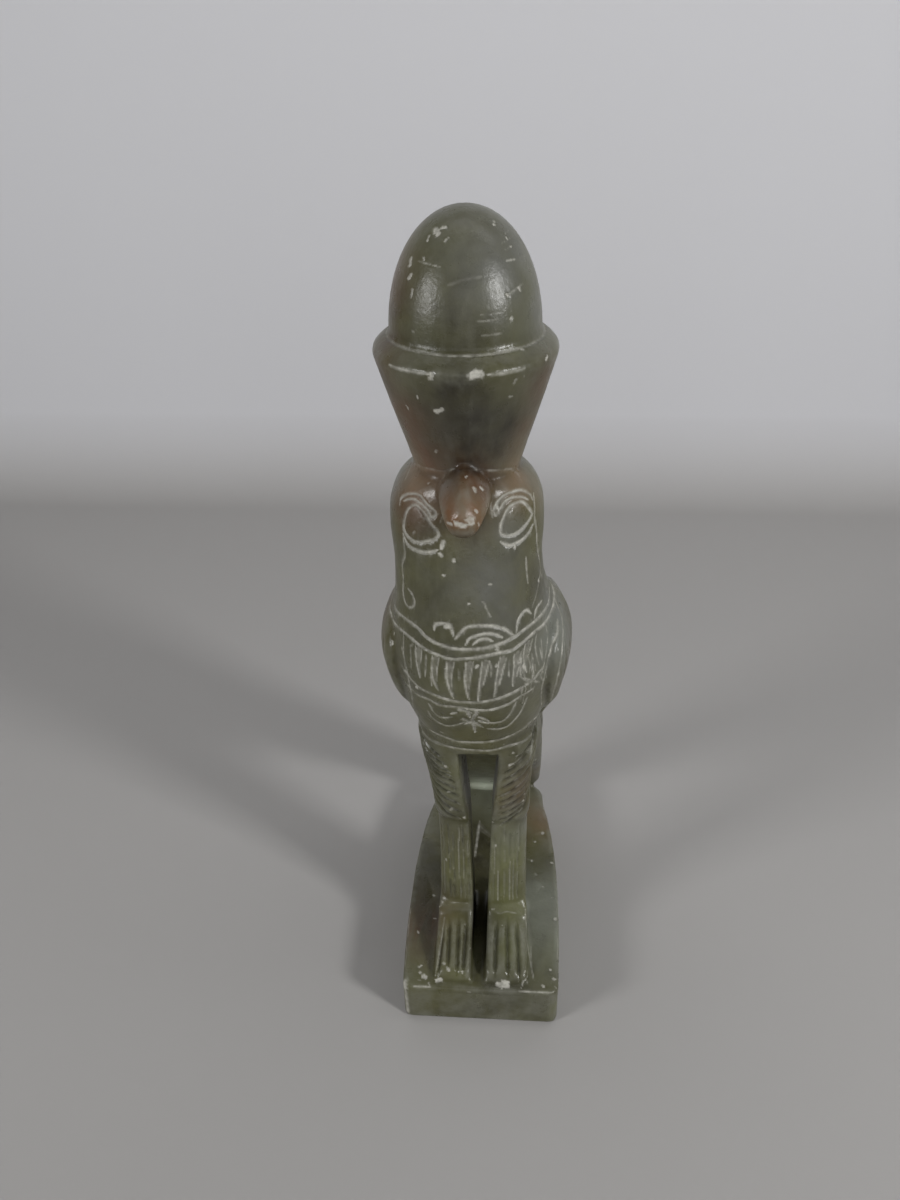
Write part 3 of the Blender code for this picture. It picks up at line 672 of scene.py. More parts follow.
# (sideways, height) seen from the front; the two sides were cut freehand and differ
face = {
    "eyes": {
        "left": (
            (-15.8, 159.5), (-15.5, 162.1), (-14.2, 164.9), (-12.2, 166.4), (-10.1, 165.1), (-8.2, 162.7),
            (-6.3, 160.5), (-7.3, 159), (-9.8, 157.9), (-13, 157.2), (-15, 158.1),
        ),
        "right": (
            (9.6, 161), (10.1, 163.4), (11.2, 165.6), (12.8, 166.7), (14.9, 166.5), (16.5, 164.6),
            (17.6, 162.4), (16.8, 161.2), (15.6, 160.3), (13.7, 159.4), (11.7, 159.3), (10.1, 159.9),
        ),
    },
    "lids": (
        ((-16, 157.8), (-15.5, 156.4), (-14.2, 155.3), (-11.6, 155), (-8.8, 155.3), (-6.6, 156.2)),
        ((9.6, 158.1), (11.7, 156.8), (13.5, 156.8), (15.3, 157.2), (16.9, 158.2), (17.9, 159.6)),
    ),
    "brows": (  # out along the upper edge, round the lower end and back
        ((-16.9, 164.4), (-16.6, 166), (-15.2, 167.6), (-12.9, 168.8), (-11.1, 168.9), (-9.5, 167.6),
         (-8.1, 166.6), (-7, 165.7), (-7.3, 164.7), (-8.2, 164.4), (-9.1, 165.9), (-10.8, 167.1),
         (-12.4, 167.6), (-14.2, 167.1), (-15.7, 166)),
        ((17.6, 165.4), (17, 166.9), (14.9, 168.9), (12.5, 169.5), (10.2, 169.3), (8.7, 168), (8, 166.2),
         (8.5, 165.1), (9.5, 166.3), (10.7, 167.9), (12.6, 168.3), (14.9, 167.5), (16.5, 166.2)),
    ),
    "cheeks": (
        ((-16, 156.6), (-15.9, 151.9), (-16.9, 148.7), (-16.9, 144.4), (-17.2, 140.8), (-16.8, 138.3),
         (-15.5, 137.7), (-14.1, 139), (-13.7, 140.7), (-14.3, 142.2), (-15.4, 143)),
        ((18.4, 161), (18.9, 157), (19, 154.2), (19.4, 149.4), (19.8, 146.3), (20.2, 141)),
        ((16.1, 152), (16.3, 147.9), (16.6, 144.2)), ((17.9, 166.5), (18.3, 163), (18.2, 159.5)),
        ((20, 143.6), (19.4, 140.2), (17.6, 136.4)),
    ),
    "creases": (
        ((-16, 169.5), (-13, 174), (-9.2, 175.4), (-5.4, 175.9), (-2.6, 177)),
        ((3.4, 177.2), (5.6, 176.4), (8.4, 175.5), (11.9, 174.2), (14.7, 170.6)),
        ((-0.8, 177.7), (-3.3, 176.7), (-4.9, 174.4), (-5.8, 171.4)),
        ((2.6, 177.5), (4.8, 176), (6.7, 172.8), (7.5, 169.6), (7.4, 166.6)),
    ),
    "beakTip": (  # (sideways, height, long, wide, turn) of its chips
        (0.2, 168.9, 3.4, 1.6, 12), (2.7, 169.8, 2.6, 1.9, 40), (-2.6, 168.7, 2.2, 0.9, -8),
        (3.9, 171.4, 1.3, 0.9, 60), (4.6, 168.2, 1.4, 0.7, 80), (-3.8, 167.2, 0.9, 0.6, 0),
    ),
    "marks": {
        "leftEye": {"width": 0.95, "depth": 0.45, "chalk": 0.9, "broken": 0.15},
        "rightEye": {"width": 0.95, "depth": 0.45, "broken": 0.15},
        "lid": {"width": 0.95, "depth": 0.45, "broken": 0.2},
        "brow": {"width": 0.85, "depth": 0.42, "chalk": 0.95, "broken": 0.2},
        "cheekLine": {"width": 0.85, "depth": 0.38, "chalk": 0.85, "broken": 0.4},
        "cheekStroke": {"width": 0.6, "depth": 0.38, "chalk": 0.85, "broken": 0.4},
        "crownFoot": {"width": 0.8, "depth": 0.2, "chalk": 0.4, "broken": 0.8},
        "beakSide": {"width": 0.8, "depth": 0.2, "chalk": 0.12, "broken": 0.8},
        "beakTip": {"depth": 0.18, "chalk": 0.95},
    },
}


def carveFace():
    marks = face["marks"]
    for side, eye in face["eyes"].items():
        cutLine(fromFront, eye, closed=True, **marks[side + "Eye"])
    for lid in face["lids"]:
        cutLine(fromFront, lid, **marks["lid"])
    for brow in face["brows"]:
        cutLine(fromFront, brow, **marks["brow"])
    for n, cheek in enumerate(face["cheeks"]):
        cutLine(fromFront, cheek, **marks["cheekLine" if n < 2 else "cheekStroke"])
    for n, crease in enumerate(face["creases"]):
        cutLine(fromFront, crease, **marks["crownFoot" if n < 2 else "beakSide"])
    for x, height, long, wide, turn in face["beakTip"]:
        chipAt(fromFront(x, height), long, wide, turn, **marks["beakTip"])


thighs = {  # (sideways, height) from the slot outwards, all cut by eye
    "left": (
        ((-6.4, 53.5), (-9.3, 54.5), (-11.6, 56), (-13.2, 57.9)),
        ((-6.1, 65.1), (-10.3, 66.2), (-13.8, 68), (-14.6, 69.2)),
        ((-7, 71.5), (-11.5, 72.4), (-14.4, 74), (-15.7, 75)),
        ((-8.2, 75.8), (-12, 76.5), (-14.8, 78.2), (-16.3, 79.7)),
        ((-10.6, 81.5), (-13.4, 82.8), (-15.6, 84.1), (-17, 85.3)),
    ),
    "right": (
        ((5.2, 49.8), (7.8, 51.6), (10.4, 54.6), (13.6, 57.2)),
        ((5.7, 57.1), (8.6, 57.8), (11.6, 59.3), (14.3, 61.4)),
        ((5.8, 65.5), (8.6, 66.4), (10.9, 67.8), (14.6, 70)),
        ((7.3, 72.6), (9.6, 73.6), (11.8, 74.8), (15.2, 77.2)),
        ((7.8, 76), (10.2, 76.8), (12.8, 78.8), (16, 81.8)),
        ((11.6, 81), (13.4, 81.9), (15, 83), (17, 84.8)),
    ),
    "wrap": ((55, 2.2), (82, 4.0), (104, 4.6)),  # how each stripe runs on round the leg: (degrees, rise)
    "widest": 3.8,  # stripes further apart than this get another between them
    "shanks": {-1: (4.6, 6.3, 7.7, 10.0, 11.3, 13.2), 1: (3.7, 5.4, 7.1, 9.0, 10.2, 12.0)},
    "shankSpan": (14.0, 50.0),
    "ankles": (
        ((-14.1, 11.5), (-9.4, 12.2), (-5.2, 12.3)), ((3.6, 10.5), (5.9, 9.4), (8.2, 10), (11.6, 9.5)),
    ),
    "toes": (  # grooves over the feet as (x, y)
        ((-11.4, -27.4), (-11.2, -35), (-11, -45)), ((-8.3, -27), (-8, -35), (-7.8, -46)),
        ((-5.4, -27.6), (-5.6, -36), (-5.9, -46)), ((-13.4, -30), (-13.9, -40), (-14.4, -46)),
        ((5, -27.5), (4.9, -36), (4.8, -46)), ((8.5, -27), (8.8, -36), (9.2, -46)),
        ((11.7, -27.6), (12.4, -36), (13, -46)),
    ),
    "toeScratches": (((14.6, -24), (16, -34), (17.9, -45)), ((-13, -27), (-14.2, -37), (-14.9, -44))),
    "marks": {
        "stripe": {"cut": "gouge", "width": 1.9, "depth": 0.85, "chalk": 0.05, "broken": 0.7},
        "stripeLine": {"width": 0.5, "depth": 0.2, "chalk": 0.5, "taper": 3, "broken": 1.0},
        "flute": {"cut": "gouge", "width": 1.3, "chalk": 0.1, "taper": 4},
        "fluteLine": {"depth": 0.12, "taper": 5},
        "ankle": {"width": 0.5, "depth": 0.2, "chalk": 0.5, "broken": 0.9},
        "toe": {"cut": "gouge", "width": 1.9, "depth": 0.9, "chalk": 0.0, "taper": 6},
        "toeScratch": {"width": 0.5, "depth": 0.2, "chalk": 0.6, "taper": 3, "broken": 0.4},
    },
}


def between(first, second, share):  # a line part of the way from one line to the other
    return [(a[0] + (b[0] - a[0]) * share, a[1] + (b[1] - a[1]) * share) for a, b in zip(first, second)]


def stripesOf(side):
    stripes = [list(s) for s in thighs[side]]
    filled = []
    for low, high in zip(stripes, stripes[1:] + [None]):
        filled.append(low)
        gap = high[1][1] - low[1][1] if high else 0
        if gap > 2 * thighs["widest"]:
            filled += [between(low, high, 0.34), between(low, high, 0.67)]
        elif gap > thighs["widest"]:
            filled.append(between(low, high, 0.5))
    return filled


def carveLegs():
    marks = thighs["marks"]
    strokes = random.Random(figure["seed"])
    for name, side in (("left", -1), ("right", 1)):
        for stripe in stripesOf(name):
            line = [(angleAcross(legPoint, h, x), h) for x, h in stripe]
            last = line[-1]
            for degrees, rise in thighs["wrap"]:
                if degrees > abs(last[0]) + 8:
                    line.append((side * degrees, last[1] + rise))
            cutLine(roundLegs, line, **marks["stripe"])
            cutLine(roundLegs, line[:5], **marks["stripeLine"])
        low, high = thighs["shankSpan"]
        for across in thighs["shanks"][side]:
            at = low
            while at < high - 6:
                end = min(high, at + strokes.uniform(7, 20))
                x = side * (across + strokes.uniform(-0.3, 0.3))
                line = [(angleAcross(legPoint, h, x), h) for h in (at, (at + end) / 2, end)]
                cutLine(roundLegs, line, depth=strokes.uniform(0.3, 0.55), **marks["flute"])
                width, chalk = strokes.uniform(0.35, 0.6), strokes.uniform(0.1, 0.5)
                cutLine(roundLegs, line, width=width, chalk=chalk, **marks["fluteLine"])
                at = end + strokes.uniform(-3, 1.5)
    for ankle in thighs["ankles"]:
        cutLine(fromFront, ankle, **marks["ankle"])
    for groove in thighs["toes"]:
        cutLine(fromAbove, groove, **marks["toe"])
    for scratch in thighs["toeScratches"]:
        cutLine(fromAbove, scratch, **marks["toeScratch"])


feathers = {
    "edges": (  # the front edge of each wing, and the first feathers behind it, as (degrees, height)
        ((-50, 124), (-47.5, 121.4), (-43.5, 117.2), (-43, 111.9), (-47.5, 101), (-58, 93)),
        ((80, 125.4), (70, 123.4), (62, 120.4), (55, 115.5), (52, 109), (54, 101), (62, 93)),
        ((92, 126.8), (87, 124.8), (77.5, 122.6), (68, 119.8), (62, 115), (60, 108), (63, 99), (72, 90)),
    ),
    "across": (0.14, 0.25, 0.36, 0.48, 0.6, 0.72, 0.84),  # where the quills run, as shares of the wing
    "foot": 24.0,  # height where the middle quill ends
    "heads": (121, 119, 116, 97, 97, 97, 97),  # heights where the quills begin
    "rows": (101.0, 107.5, 114.0),  # heights of the rows of small feathers
    "rowSpan": (0.42, 0.96),
    "tail": (162, 171, 180, 189, 198),  # degrees round the body
    "tailSpan": (5.0, 78.0),
    "marks": {
        "edge": {"width": 0.8, "depth": 0.45, "chalk": 0.9, "broken": 0.45},
        "quill": {"cut": "gouge", "width": 1.5, "depth": 0.5, "chalk": 0.2, "taper": 5, "broken": 0.7},
        "quillLine": {"width": 0.5, "depth": 0.2, "chalk": 0.6, "taper": 5, "broken": 0.8},
        "scallop": {"cut": "gouge", "width": 1.3, "depth": 0.45, "chalk": 0.3, "taper": 1, "broken": 0.6},
        "tail": {"cut": "gouge", "width": 1.4, "depth": 0.5, "chalk": 0.25, "taper": 4, "broken": 0.6},
    },
}


def wingAngle(side, across, height):
    fore, aft, _ = sectionAt("wings", wings["stations"], height)
    return side * (fore + (aft - fore) * across)


def carveFeathers():
    marks = feathers["marks"]
    for edge in feathers["edges"]:
        cutLine(roundBody, edge, **marks["edge"])
    for side in (-1, 1):
        for n, (across, head) in enumerate(zip(feathers["across"], feathers["heads"])):
            foot = feathers["foot"] + 7 * abs(n - 3)
            heights = [foot + (head - foot) * k / 14 for k in range(15)]
            line = [(wingAngle(side, across, h), h) for h in heights]
            cutLine(roundBody, line, **marks["quill"])
            cutLine(roundBody, line, **marks["quillLine"])
        low, high = feathers["rowSpan"]
        for r, height in enumerate(feathers["rows"]):
            count = 4 - r // 2
            for n in range(count):  # scallops of the small feathers
                a = low + (high - low) * (n + 0.25 * (r % 2)) / count
                shares = [a + (high - low) / count * 0.96 * k / 6 for k in range(7)]
                dips = [3.4 * math.sin(math.pi * k / 6) for k in range(7)]
                line = [(wingAngle(side, min(s, 0.98), height), height - d) for s, d in zip(shares, dips)]
                cutLine(roundBody, line, **marks["scallop"])
    low, high = feathers["tailSpan"]
    for degrees in feathers["tail"]:
        line = [(degrees, low + (high - low) * k / 12) for k in range(13)]
        cutLine(roundBody, line, **marks["tail"])


wear = {
    "chips": (  # (sideways, height, long, wide, turn) seen from the front
        (-5.3, 157.6, 2.8, 1.2, 105), (-5.9, 155.1, 1.6, 1.1, 60), (-2.3, 153.8, 1.3, 1.1, 90),
        (-5.2, 149.8, 1.0, 0.8, 0), (19.5, 141.4, 1.2, 1.0, 0), (2.5, 124.7, 1.7, 1.1, 120),
        (7.7, 124.5, 1.3, 1.0, 90), (8.2, 129.5, 1.3, 1.2, 90), (15.5, 121.2, 2.9, 1.5, 60),
        # the chips at (3.4, 175) and (5.1, 174.3) on the beak's top are white spots of painted highlight
        (-4.7, 136.2, 2.0, 1.3, -10), (17.9, 93, 3.0, 1.3, 65), (3.4, 175, 1.9, 1.1, 100),
        (5.1, 174.3, 1.5, 1.2, 90), (8.9, 166.8, 1.9, 0.9, 60), (13.2, 156.1, 1.3, 0.7, 90),
        (1.2, 142.6, 0.8, 0.6, 0), (-18.2, 116.4, 1.4, 0.9, 60), (-15.4, 112.6, 1.4, 1.1, 0),
        (-9.6, 78.2, 1.3, 0.8, -30), (10.6, 79.4, 2.3, 1.4, 10), (-5.4, 54.6, 1.2, 0.8, 90),
        (13.8, 60.5, 0.9, 0.7, 0), (-12.4, 31, 1.1, 0.9, 90), (4.4, 40.6, 0.9, 0.7, 90),
        (-21.6, 124.6, 1.2, 0.8, 70), (-22.4, 121.4, 1.5, 0.9, 80), (3.7, 52.2, 0.9, 0.9, 90),
    ),
    "crown": (  # (x, y, height, long, wide, turn)
        (-5.4, -18.4, 232, 3.0, 1.5, 40), (-3.6, -18.0, 232.4, 1.8, 0.8, -20),
        (-7.4, -18.6, 230.6, 1.8, 0.6, 80), (-2.8, -20.4, 230.4, 1.6, 0.4, -60),
        (-11.4, -18.8, 225.3, 2.4, 1.1, 70), (-11.5, -20.7, 222.6, 2.0, 0.9, 120),
        (-8.4, -21.6, 226.8, 1.0, 0.6, 60), (-10.6, -22.4, 219.4, 2.0, 0.4, 100),
        (11.8, -24.3, 214.2, 1.0, 0.9, 0), (13.4, -20.9, 219.8, 1.3, 0.5, 60),
        (10.8, -23.6, 219.3, 1.0, 0.6, 20), (7.5, -15.6, 232.6, 0.9, 0.7, 0),
        (11.5, -17, 228.2, 0.8, 0.5, 0), (8, -15, 234, 0.7, 0.6, 0), (4, -31.9, 204.0, 3.2, 1.7, 0),
        (-6.3, -31.7, 203.4, 2.0, 1.3, 100), (19.9, -21.3, 204.1, 1.7, 0.6, -35),
        (-5, -29.8, 194.2, 3.0, 1.4, -25), (-9.6, -27.4, 197.4, 0.9, 0.5, 80),
        (-12.6, -24.4, 193.4, 1.1, 0.5, 80), (14.6, -24.6, 208.0, 1.0, 0.7, 20),
    ),
    "scratches": (  # ((sideways, height) run, width, chalk) over the bulb, the throat and the sides
        (((-9.5, 226), (-4.2, 225.5)), 0.35, 0.75), (((10.2, 225.9), (12.4, 225.7)), 0.45, 0.9),
        (((9.6, 230.6), (12.6, 231.4)), 0.3, 0.6), (((9.2, 229.2), (12.4, 230)), 0.3, 0.55),
        (((9.4, 227.8), (11.4, 228.1)), 0.3, 0.5), (((4, 214.6), (12, 214.4)), 0.3, 0.45),
        (((3.6, 216), (10, 215.9)), 0.3, 0.4), (((5, 211.4), (9.8, 211.3)), 0.3, 0.45),
        (((-2.5, 222), (1, 223), (5, 223.6)), 0.7, 0.18), (((11, 219.4), (14, 220.6)), 0.6, 0.6),
        (((5.2, 142.6), (5.9, 140.6), (6.8, 138.8)), 0.5, 0.8), (((4.4, 143.2), (5.6, 142.4)), 0.5, 0.7),
        (((-5.8, 163.2), (-5.0, 165.4)), 0.4, 0.4), (((7.2, 168.4), (7.6, 164.6)), 0.8, 0.7),
        (((15.6, 95), (18.6, 91.4)), 0.9, 0.7), (((16, 79), (17.4, 84)), 0.6, 0.6),
    ),
    "rim": (  # (x, y) runs along the cup's rim
        ((-17.0, -25.2), (-13.8, -27.7), (-10.2, -29.7), (-6.6, -31.2)),
        ((6.5, -31.6), (11, -30.2), (15.2, -27.6)),
    ),
    "rimHeight": 203.7,
    "bulbFoot": (19.35, 207.3),  # radius and height of the crease under the bulb
    "base": (  # ((x, y, height) run, width, chalk) along its edges and on its top
        (((-25.4, -47.4, 0.4), (-25.3, -48.0, -1.5), (-25.1, -48.6, -4)), 3.4, 1.0),
        (((-25.1, -48.6, -3), (-24.9, -48.7, -15.8)), 2.0, 1.0),
        (((-22, -49.4, 0), (-16.4, -49.4, 0)), 0.7, 0.95),
        (((-16.6, -49.3, 0), (-17.2, -47.6, 0.3)), 0.7, 0.8),
        (((12.6, -49.4, 0), (18, -49.4, 0), (24.2, -49.4, 0)), 0.6, 0.8),
        (((13.6, -48.2, 0), (14.4, -44.6, 0), (14.0, -42, 0)), 0.45, 0.8),
        (((24.6, -46.8, 0), (24.8, -47, -5)), 0.7, 0.6),
        (((-26.2, -30, 0), (-26.4, -24, 0), (-26.3, -18, 0)), 0.5, 0.6),
        (((-26, -42, 0), (-26.2, -34, 0)), 0.4, 0.5), (((26.2, -36, 0), (26.6, -28, 0)), 0.5, 0.6),
        (((-3.2, 25, 0), (-4.3, 7, 0)), 1.0, 0.75), (((17.2, -42, 0), (16.6, -31, 0)), 0.35, 0.55),
        (((26.4, 20, 0), (25.4, 28, 0)), 0.5, 0.55),
    ),
    "baseChips": (  # (x, y, long, wide)
        (21.6, 20, 1.6, 1.1), (26, 18.6, 2.0, 0.9), (18.6, 15.4, 1.2, 0.7), (17.4, 6, 1.1, 0.8),
        (24.8, 5.4, 1.4, 0.9), (-20.6, -41.6, 1.5, 0.8), (-18.8, -45.4, 2.2, 1.6), (-20.4, -44, 1.0, 0.8),
        (-18.4, -12, 1.2, 0.7), (25.6, -20, 1.3, 1.1), (24.6, -44, 1.4, 0.9), (-22.6, -28, 1.0, 0.6),
        (21.4, -6, 0.8, 0.5), (20.8, -46.8, 1.2, 0.8), (-15, -20, 0.9, 0.5), (22.4, 33, 1.0, 0.7),
        (23.4, -40.6, 1.1, 0.8),
    ),
    "toeTips": (  # (x, y, long, wide, turn)
        (-13.9, -46.6, 2.6, 1.5, -30), (-10.8, -44.2, 2.0, 1.0, 40), (-5.9, -45, 1.2, 0.6, 90),
        (7.6, -47.4, 5.0, 1.8, 8), (8.3, -46.6, 3.0, 1.5, 0), (-12.4, -42.6, 1.2, 0.9, 0),
    ),
    "flecks": 150,
    "marks": {
        "scratch": {"depth": 0.08, "taper": 1, "broken": 0.4},
        "rim": {"width": 0.75, "depth": 0.06, "chalk": 0.9, "broken": 0.55},
        "bulbFoot": {"width": 0.7, "depth": 0.35, "chalk": 0.55, "broken": 0.5},
        "base": {"depth": 0.15, "broken": 0.4},
    },
}


def wearSurface():
    marks = wear["marks"]
    for x, height, long, wide, turn in wear["chips"]:
        chipAt(fromFront(x, height), long, wide, turn)
    for x, y, height, long, wide, turn in wear["crown"]:
        chipAt(onSkin(x, y, height), long, wide, turn)
    for line, width, chalk in wear["scratches"]:
        cutLine(fromFront, line, width=width, chalk=chalk, **marks["scratch"])
    for line in wear["rim"]:
        cutLine(onSkin, [(x, y, wear["rimHeight"]) for x, y in line], **marks["rim"])
    radius, height = wear["bulbFoot"]
    turns = [2 * math.pi * k / 60 for k in range(60)]
    crease = [(crown["x"] + radius * math.cos(a), crown["y"] + radius * math.sin(a), height) for a in turns]
    cutLine(onSkin, crease, closed=True, **marks["bulbFoot"])
    for line, width, chalk in wear["base"]:
        cutLine(onSkin, line, width=width, chalk=chalk, **marks["base"])
    for x, y, long, wide in wear["baseChips"]:
        chipAt(fromAbove(x, y), long, wide, 37 * x % 180)
    for x, y, long, wide, turn in wear["toeTips"]:
        chipAt(fromAbove(x, y), long, wide, turn)
    scatter = random.Random(figure["seed"] + 1)
    for _ in range(wear["flecks"]):
        place = stoneMesh.vertices[scatter.randrange(len(stoneMesh.vertices))].co / mm
        size = scatter.uniform(0.35, 0.8)
        if place.z > 1:
            long, turn = size * scatter.uniform(1, 2.2), scatter.uniform(0, 180)
            chipAt(place, long, size, turn, 0.1, scatter.uniform(0.35, 0.85))


carveCollar()
carveFace()
carveLegs()
carveFeathers()
wearSurface()
print("carved lines:", {kind: len(samples) for kind, samples in cuts.items()})

lineTrees = {}
for kind, samples in cuts.items():
    lineTrees[kind] = KDTree(len(samples))
    for i, sample in enumerate(samples):
        lineTrees[kind].insert(sample[:3], i)
    lineTrees[kind].balance()


def nearLine(place, reach=0.95):
    return any(tree.find(place)[2] < reach for tree in lineTrees.values())


def refineNearLines(mesh):  # split the skin once where lines run
    bm = bmesh.new()
    bm.from_mesh(mesh)
    near = {v for v in bm.verts if nearLine(v.co / mm)}
    edges = {e for v in near for f in v.link_faces if sum(w in near for w in f.verts) >= 2 for e in f.edges}
    bmesh.ops.subdivide_edges(bm, edges=list(edges), cuts=1, use_grid_fill=True)
    bmesh.ops.triangulate(bm, faces=bm.faces)
    bm.to_mesh(mesh)
    bm.free()


refineNearLines(stoneMesh)
print("refined skin:", len(stoneMesh.polygons), "triangles")


def meshArrays(mesh):
    co = np.empty(len(mesh.vertices) * 3)
    mesh.vertices.foreach_get("co", co)
    normals = np.empty(len(mesh.vertices) * 3)
    mesh.vertices.foreach_get("normal", normals)
    edges = np.empty(len(mesh.edges) * 2, dtype=np.int32)
    mesh.edges.foreach_get("vertices", edges)
    return co.reshape(-1, 3), normals.reshape(-1, 3), edges.reshape(-1, 2)


def evened(values, edges, rounds):  # each point moves half way to the mean of its neighbours
    count = len(values)
    a, b = edges.T
    degree = np.maximum(np.bincount(edges.ravel(), minlength=count), 1)
    table = values.reshape(count, -1)
    for _ in range(rounds):
        total = np.stack([
            np.bincount(a, table[b, c], count) + np.bincount(b, table[a, c], count)
            for c in range(table.shape[1])
        ], axis=1)
        table = 0.5 * table + 0.5 * total / degree[:, None]
    return table.reshape(values.shape)


def profileOf(kind, d):  # how deep, and how full of chalk, at this share of the half width
    if kind == "knife":
        return np.clip(1 - d, 0, 1) ** 0.85, np.clip(1.45 - 1.1 * d, 0, 1)
    if kind == "gouge":
        return np.exp(-((d / 0.72) ** 2)), np.clip(1.0 - d, 0, 1)
    return np.clip((1.0 - d) * 3, 0, 1), np.clip((1.05 - d) * 3.5, 0, 1)


cutEdges = {
    "rough": {"knife": 0.25, "gouge": 0.0, "chip": 0.4},  # how ragged the edges of each kind of cut are
    "kept": {"knife": 0.8, "gouge": 0.45, "chip": 0.8},  # how near its middle no triangle is taken out
    "furthest": 3.0,  # no cut reaches further than this
}


def carveMesh(mesh):
    co, normals, edges = meshArrays(mesh)
    normals = evened(normals, edges, 3)
    normals /= np.linalg.norm(normals, axis=1)[:, None]
    sink, chalk, fine = np.zeros(len(co)), np.zeros(len(co)), np.zeros(len(co), dtype=bool)
    crumble = np.array([noise.noise(Vector(p) * 1.3) + 0.6 * noise.noise(Vector(p) * 3.1) for p in co / mm])
    for kind, samples in cuts.items():
        table = np.array(samples)
        found = [lineTrees[kind].find(Vector(p)) for p in co / mm]
        nearest = np.array([f[1] for f in found])
        gap = np.array([f[2] for f in found])
        off = co / mm - table[nearest, :3]
        off -= normals * np.einsum("ij,ij->i", off, normals)[:, None]
        d = np.linalg.norm(off, axis=1) / table[nearest, 3]
        d *= 1 + cutEdges["rough"][kind] * crumble
        deep, full = profileOf(kind, d)
        here = gap < cutEdges["furthest"]
        sink = np.maximum(sink, np.where(here, deep * table[nearest, 4], 0))
        chalk = np.maximum(chalk, np.where(here, full * table[nearest, 5], 0))
        if kind == "gouge":
            groove = np.where(here, deep * table[nearest, 4], 0)
        fine |= gap < cutEdges["kept"][kind]
    co -= normals * (sink * mm)[:, None]
    mesh.vertices.foreach_set("co", co.ravel())
    mesh.update()
    return chalk, fine, groove


chalkMask, fineMask, grooveMask = carveMesh(stoneMesh)
print("lines carved")


def storeMask(mesh, name, values):
    attribute = mesh.attributes.new(name, "FLOAT", "POINT")
    attribute.data.foreach_set("value", np.clip(values, 0, 1).astype(np.float32))


def bendMasks(mesh, gain=7):  # how far each point stands out of its surroundings, or sinks into them
    co, normals, edges = meshArrays(mesh)
    stand = np.einsum("ij,ij->i", co - evened(co, edges, 8), normals) / mm
    stand = evened(stand, edges, 2)
    return np.clip(stand * gain, 0, 1), np.clip(-stand * gain, 0, 1)


# How much of the sky the figure hides from each point, found at every few points and blended between them;
# the stone is painted darker by it, as painted shade with handling dirt
def shelterMask(mesh, every=9, rays=18, reach=45.0, goldenTurn=2.39996):
    co, normals, _ = meshArrays(mesh)
    tree = BVHTree.FromPolygons([Vector(p) for p in co / mm], [p.vertices[:] for p in mesh.polygons])
    spread = []
    for k in range(rays):  # an even spread over the whole sphere
        z = 1 - 2 * (k + 0.5) / rays
        flat = math.sqrt(1 - z * z)
        spread.append(Vector((flat * math.cos(k * goldenTurn), flat * math.sin(k * goldenTurn), z)))
    picked = KDTree(len(co) // every + 1)
    values = []
    for i in range(0, len(co), every):
        normal, place = Vector(normals[i]), Vector(co[i] / mm)
        clear = 0
        for ray in spread:
            toward = (ray * 0.98 + normal).normalized()  # leans the spread over to the outward side
            clear += tree.ray_cast(place + normal * 0.4, toward, reach)[0] is None
        picked.insert(place, len(values))
        values.append(1 - clear / rays)
    picked.balance()
    out = np.empty(len(co))
    for i, p in enumerate(co / mm):
        near = picked.find_n(Vector(p), 3)
        weights = [1 / (0.2 + n[2]) for n in near]
        out[i] = sum(w * values[n[1]] for w, n in zip(weights, near)) / sum(weights)
    return out


edgeMask, hollowMask = bendMasks(stoneMesh)
storeMask(stoneMesh, "chalk", chalkMask)
storeMask(stoneMesh, "edge", edgeMask)
# hollows and the grooves without chalk, darkened later as painted shade with handling dirt
storeMask(stoneMesh, "hollow", np.maximum(0.5 * hollowMask, grooveMask * (1 - chalkMask)))
storeMask(stoneMesh, "shelter", shelterMask(stoneMesh))
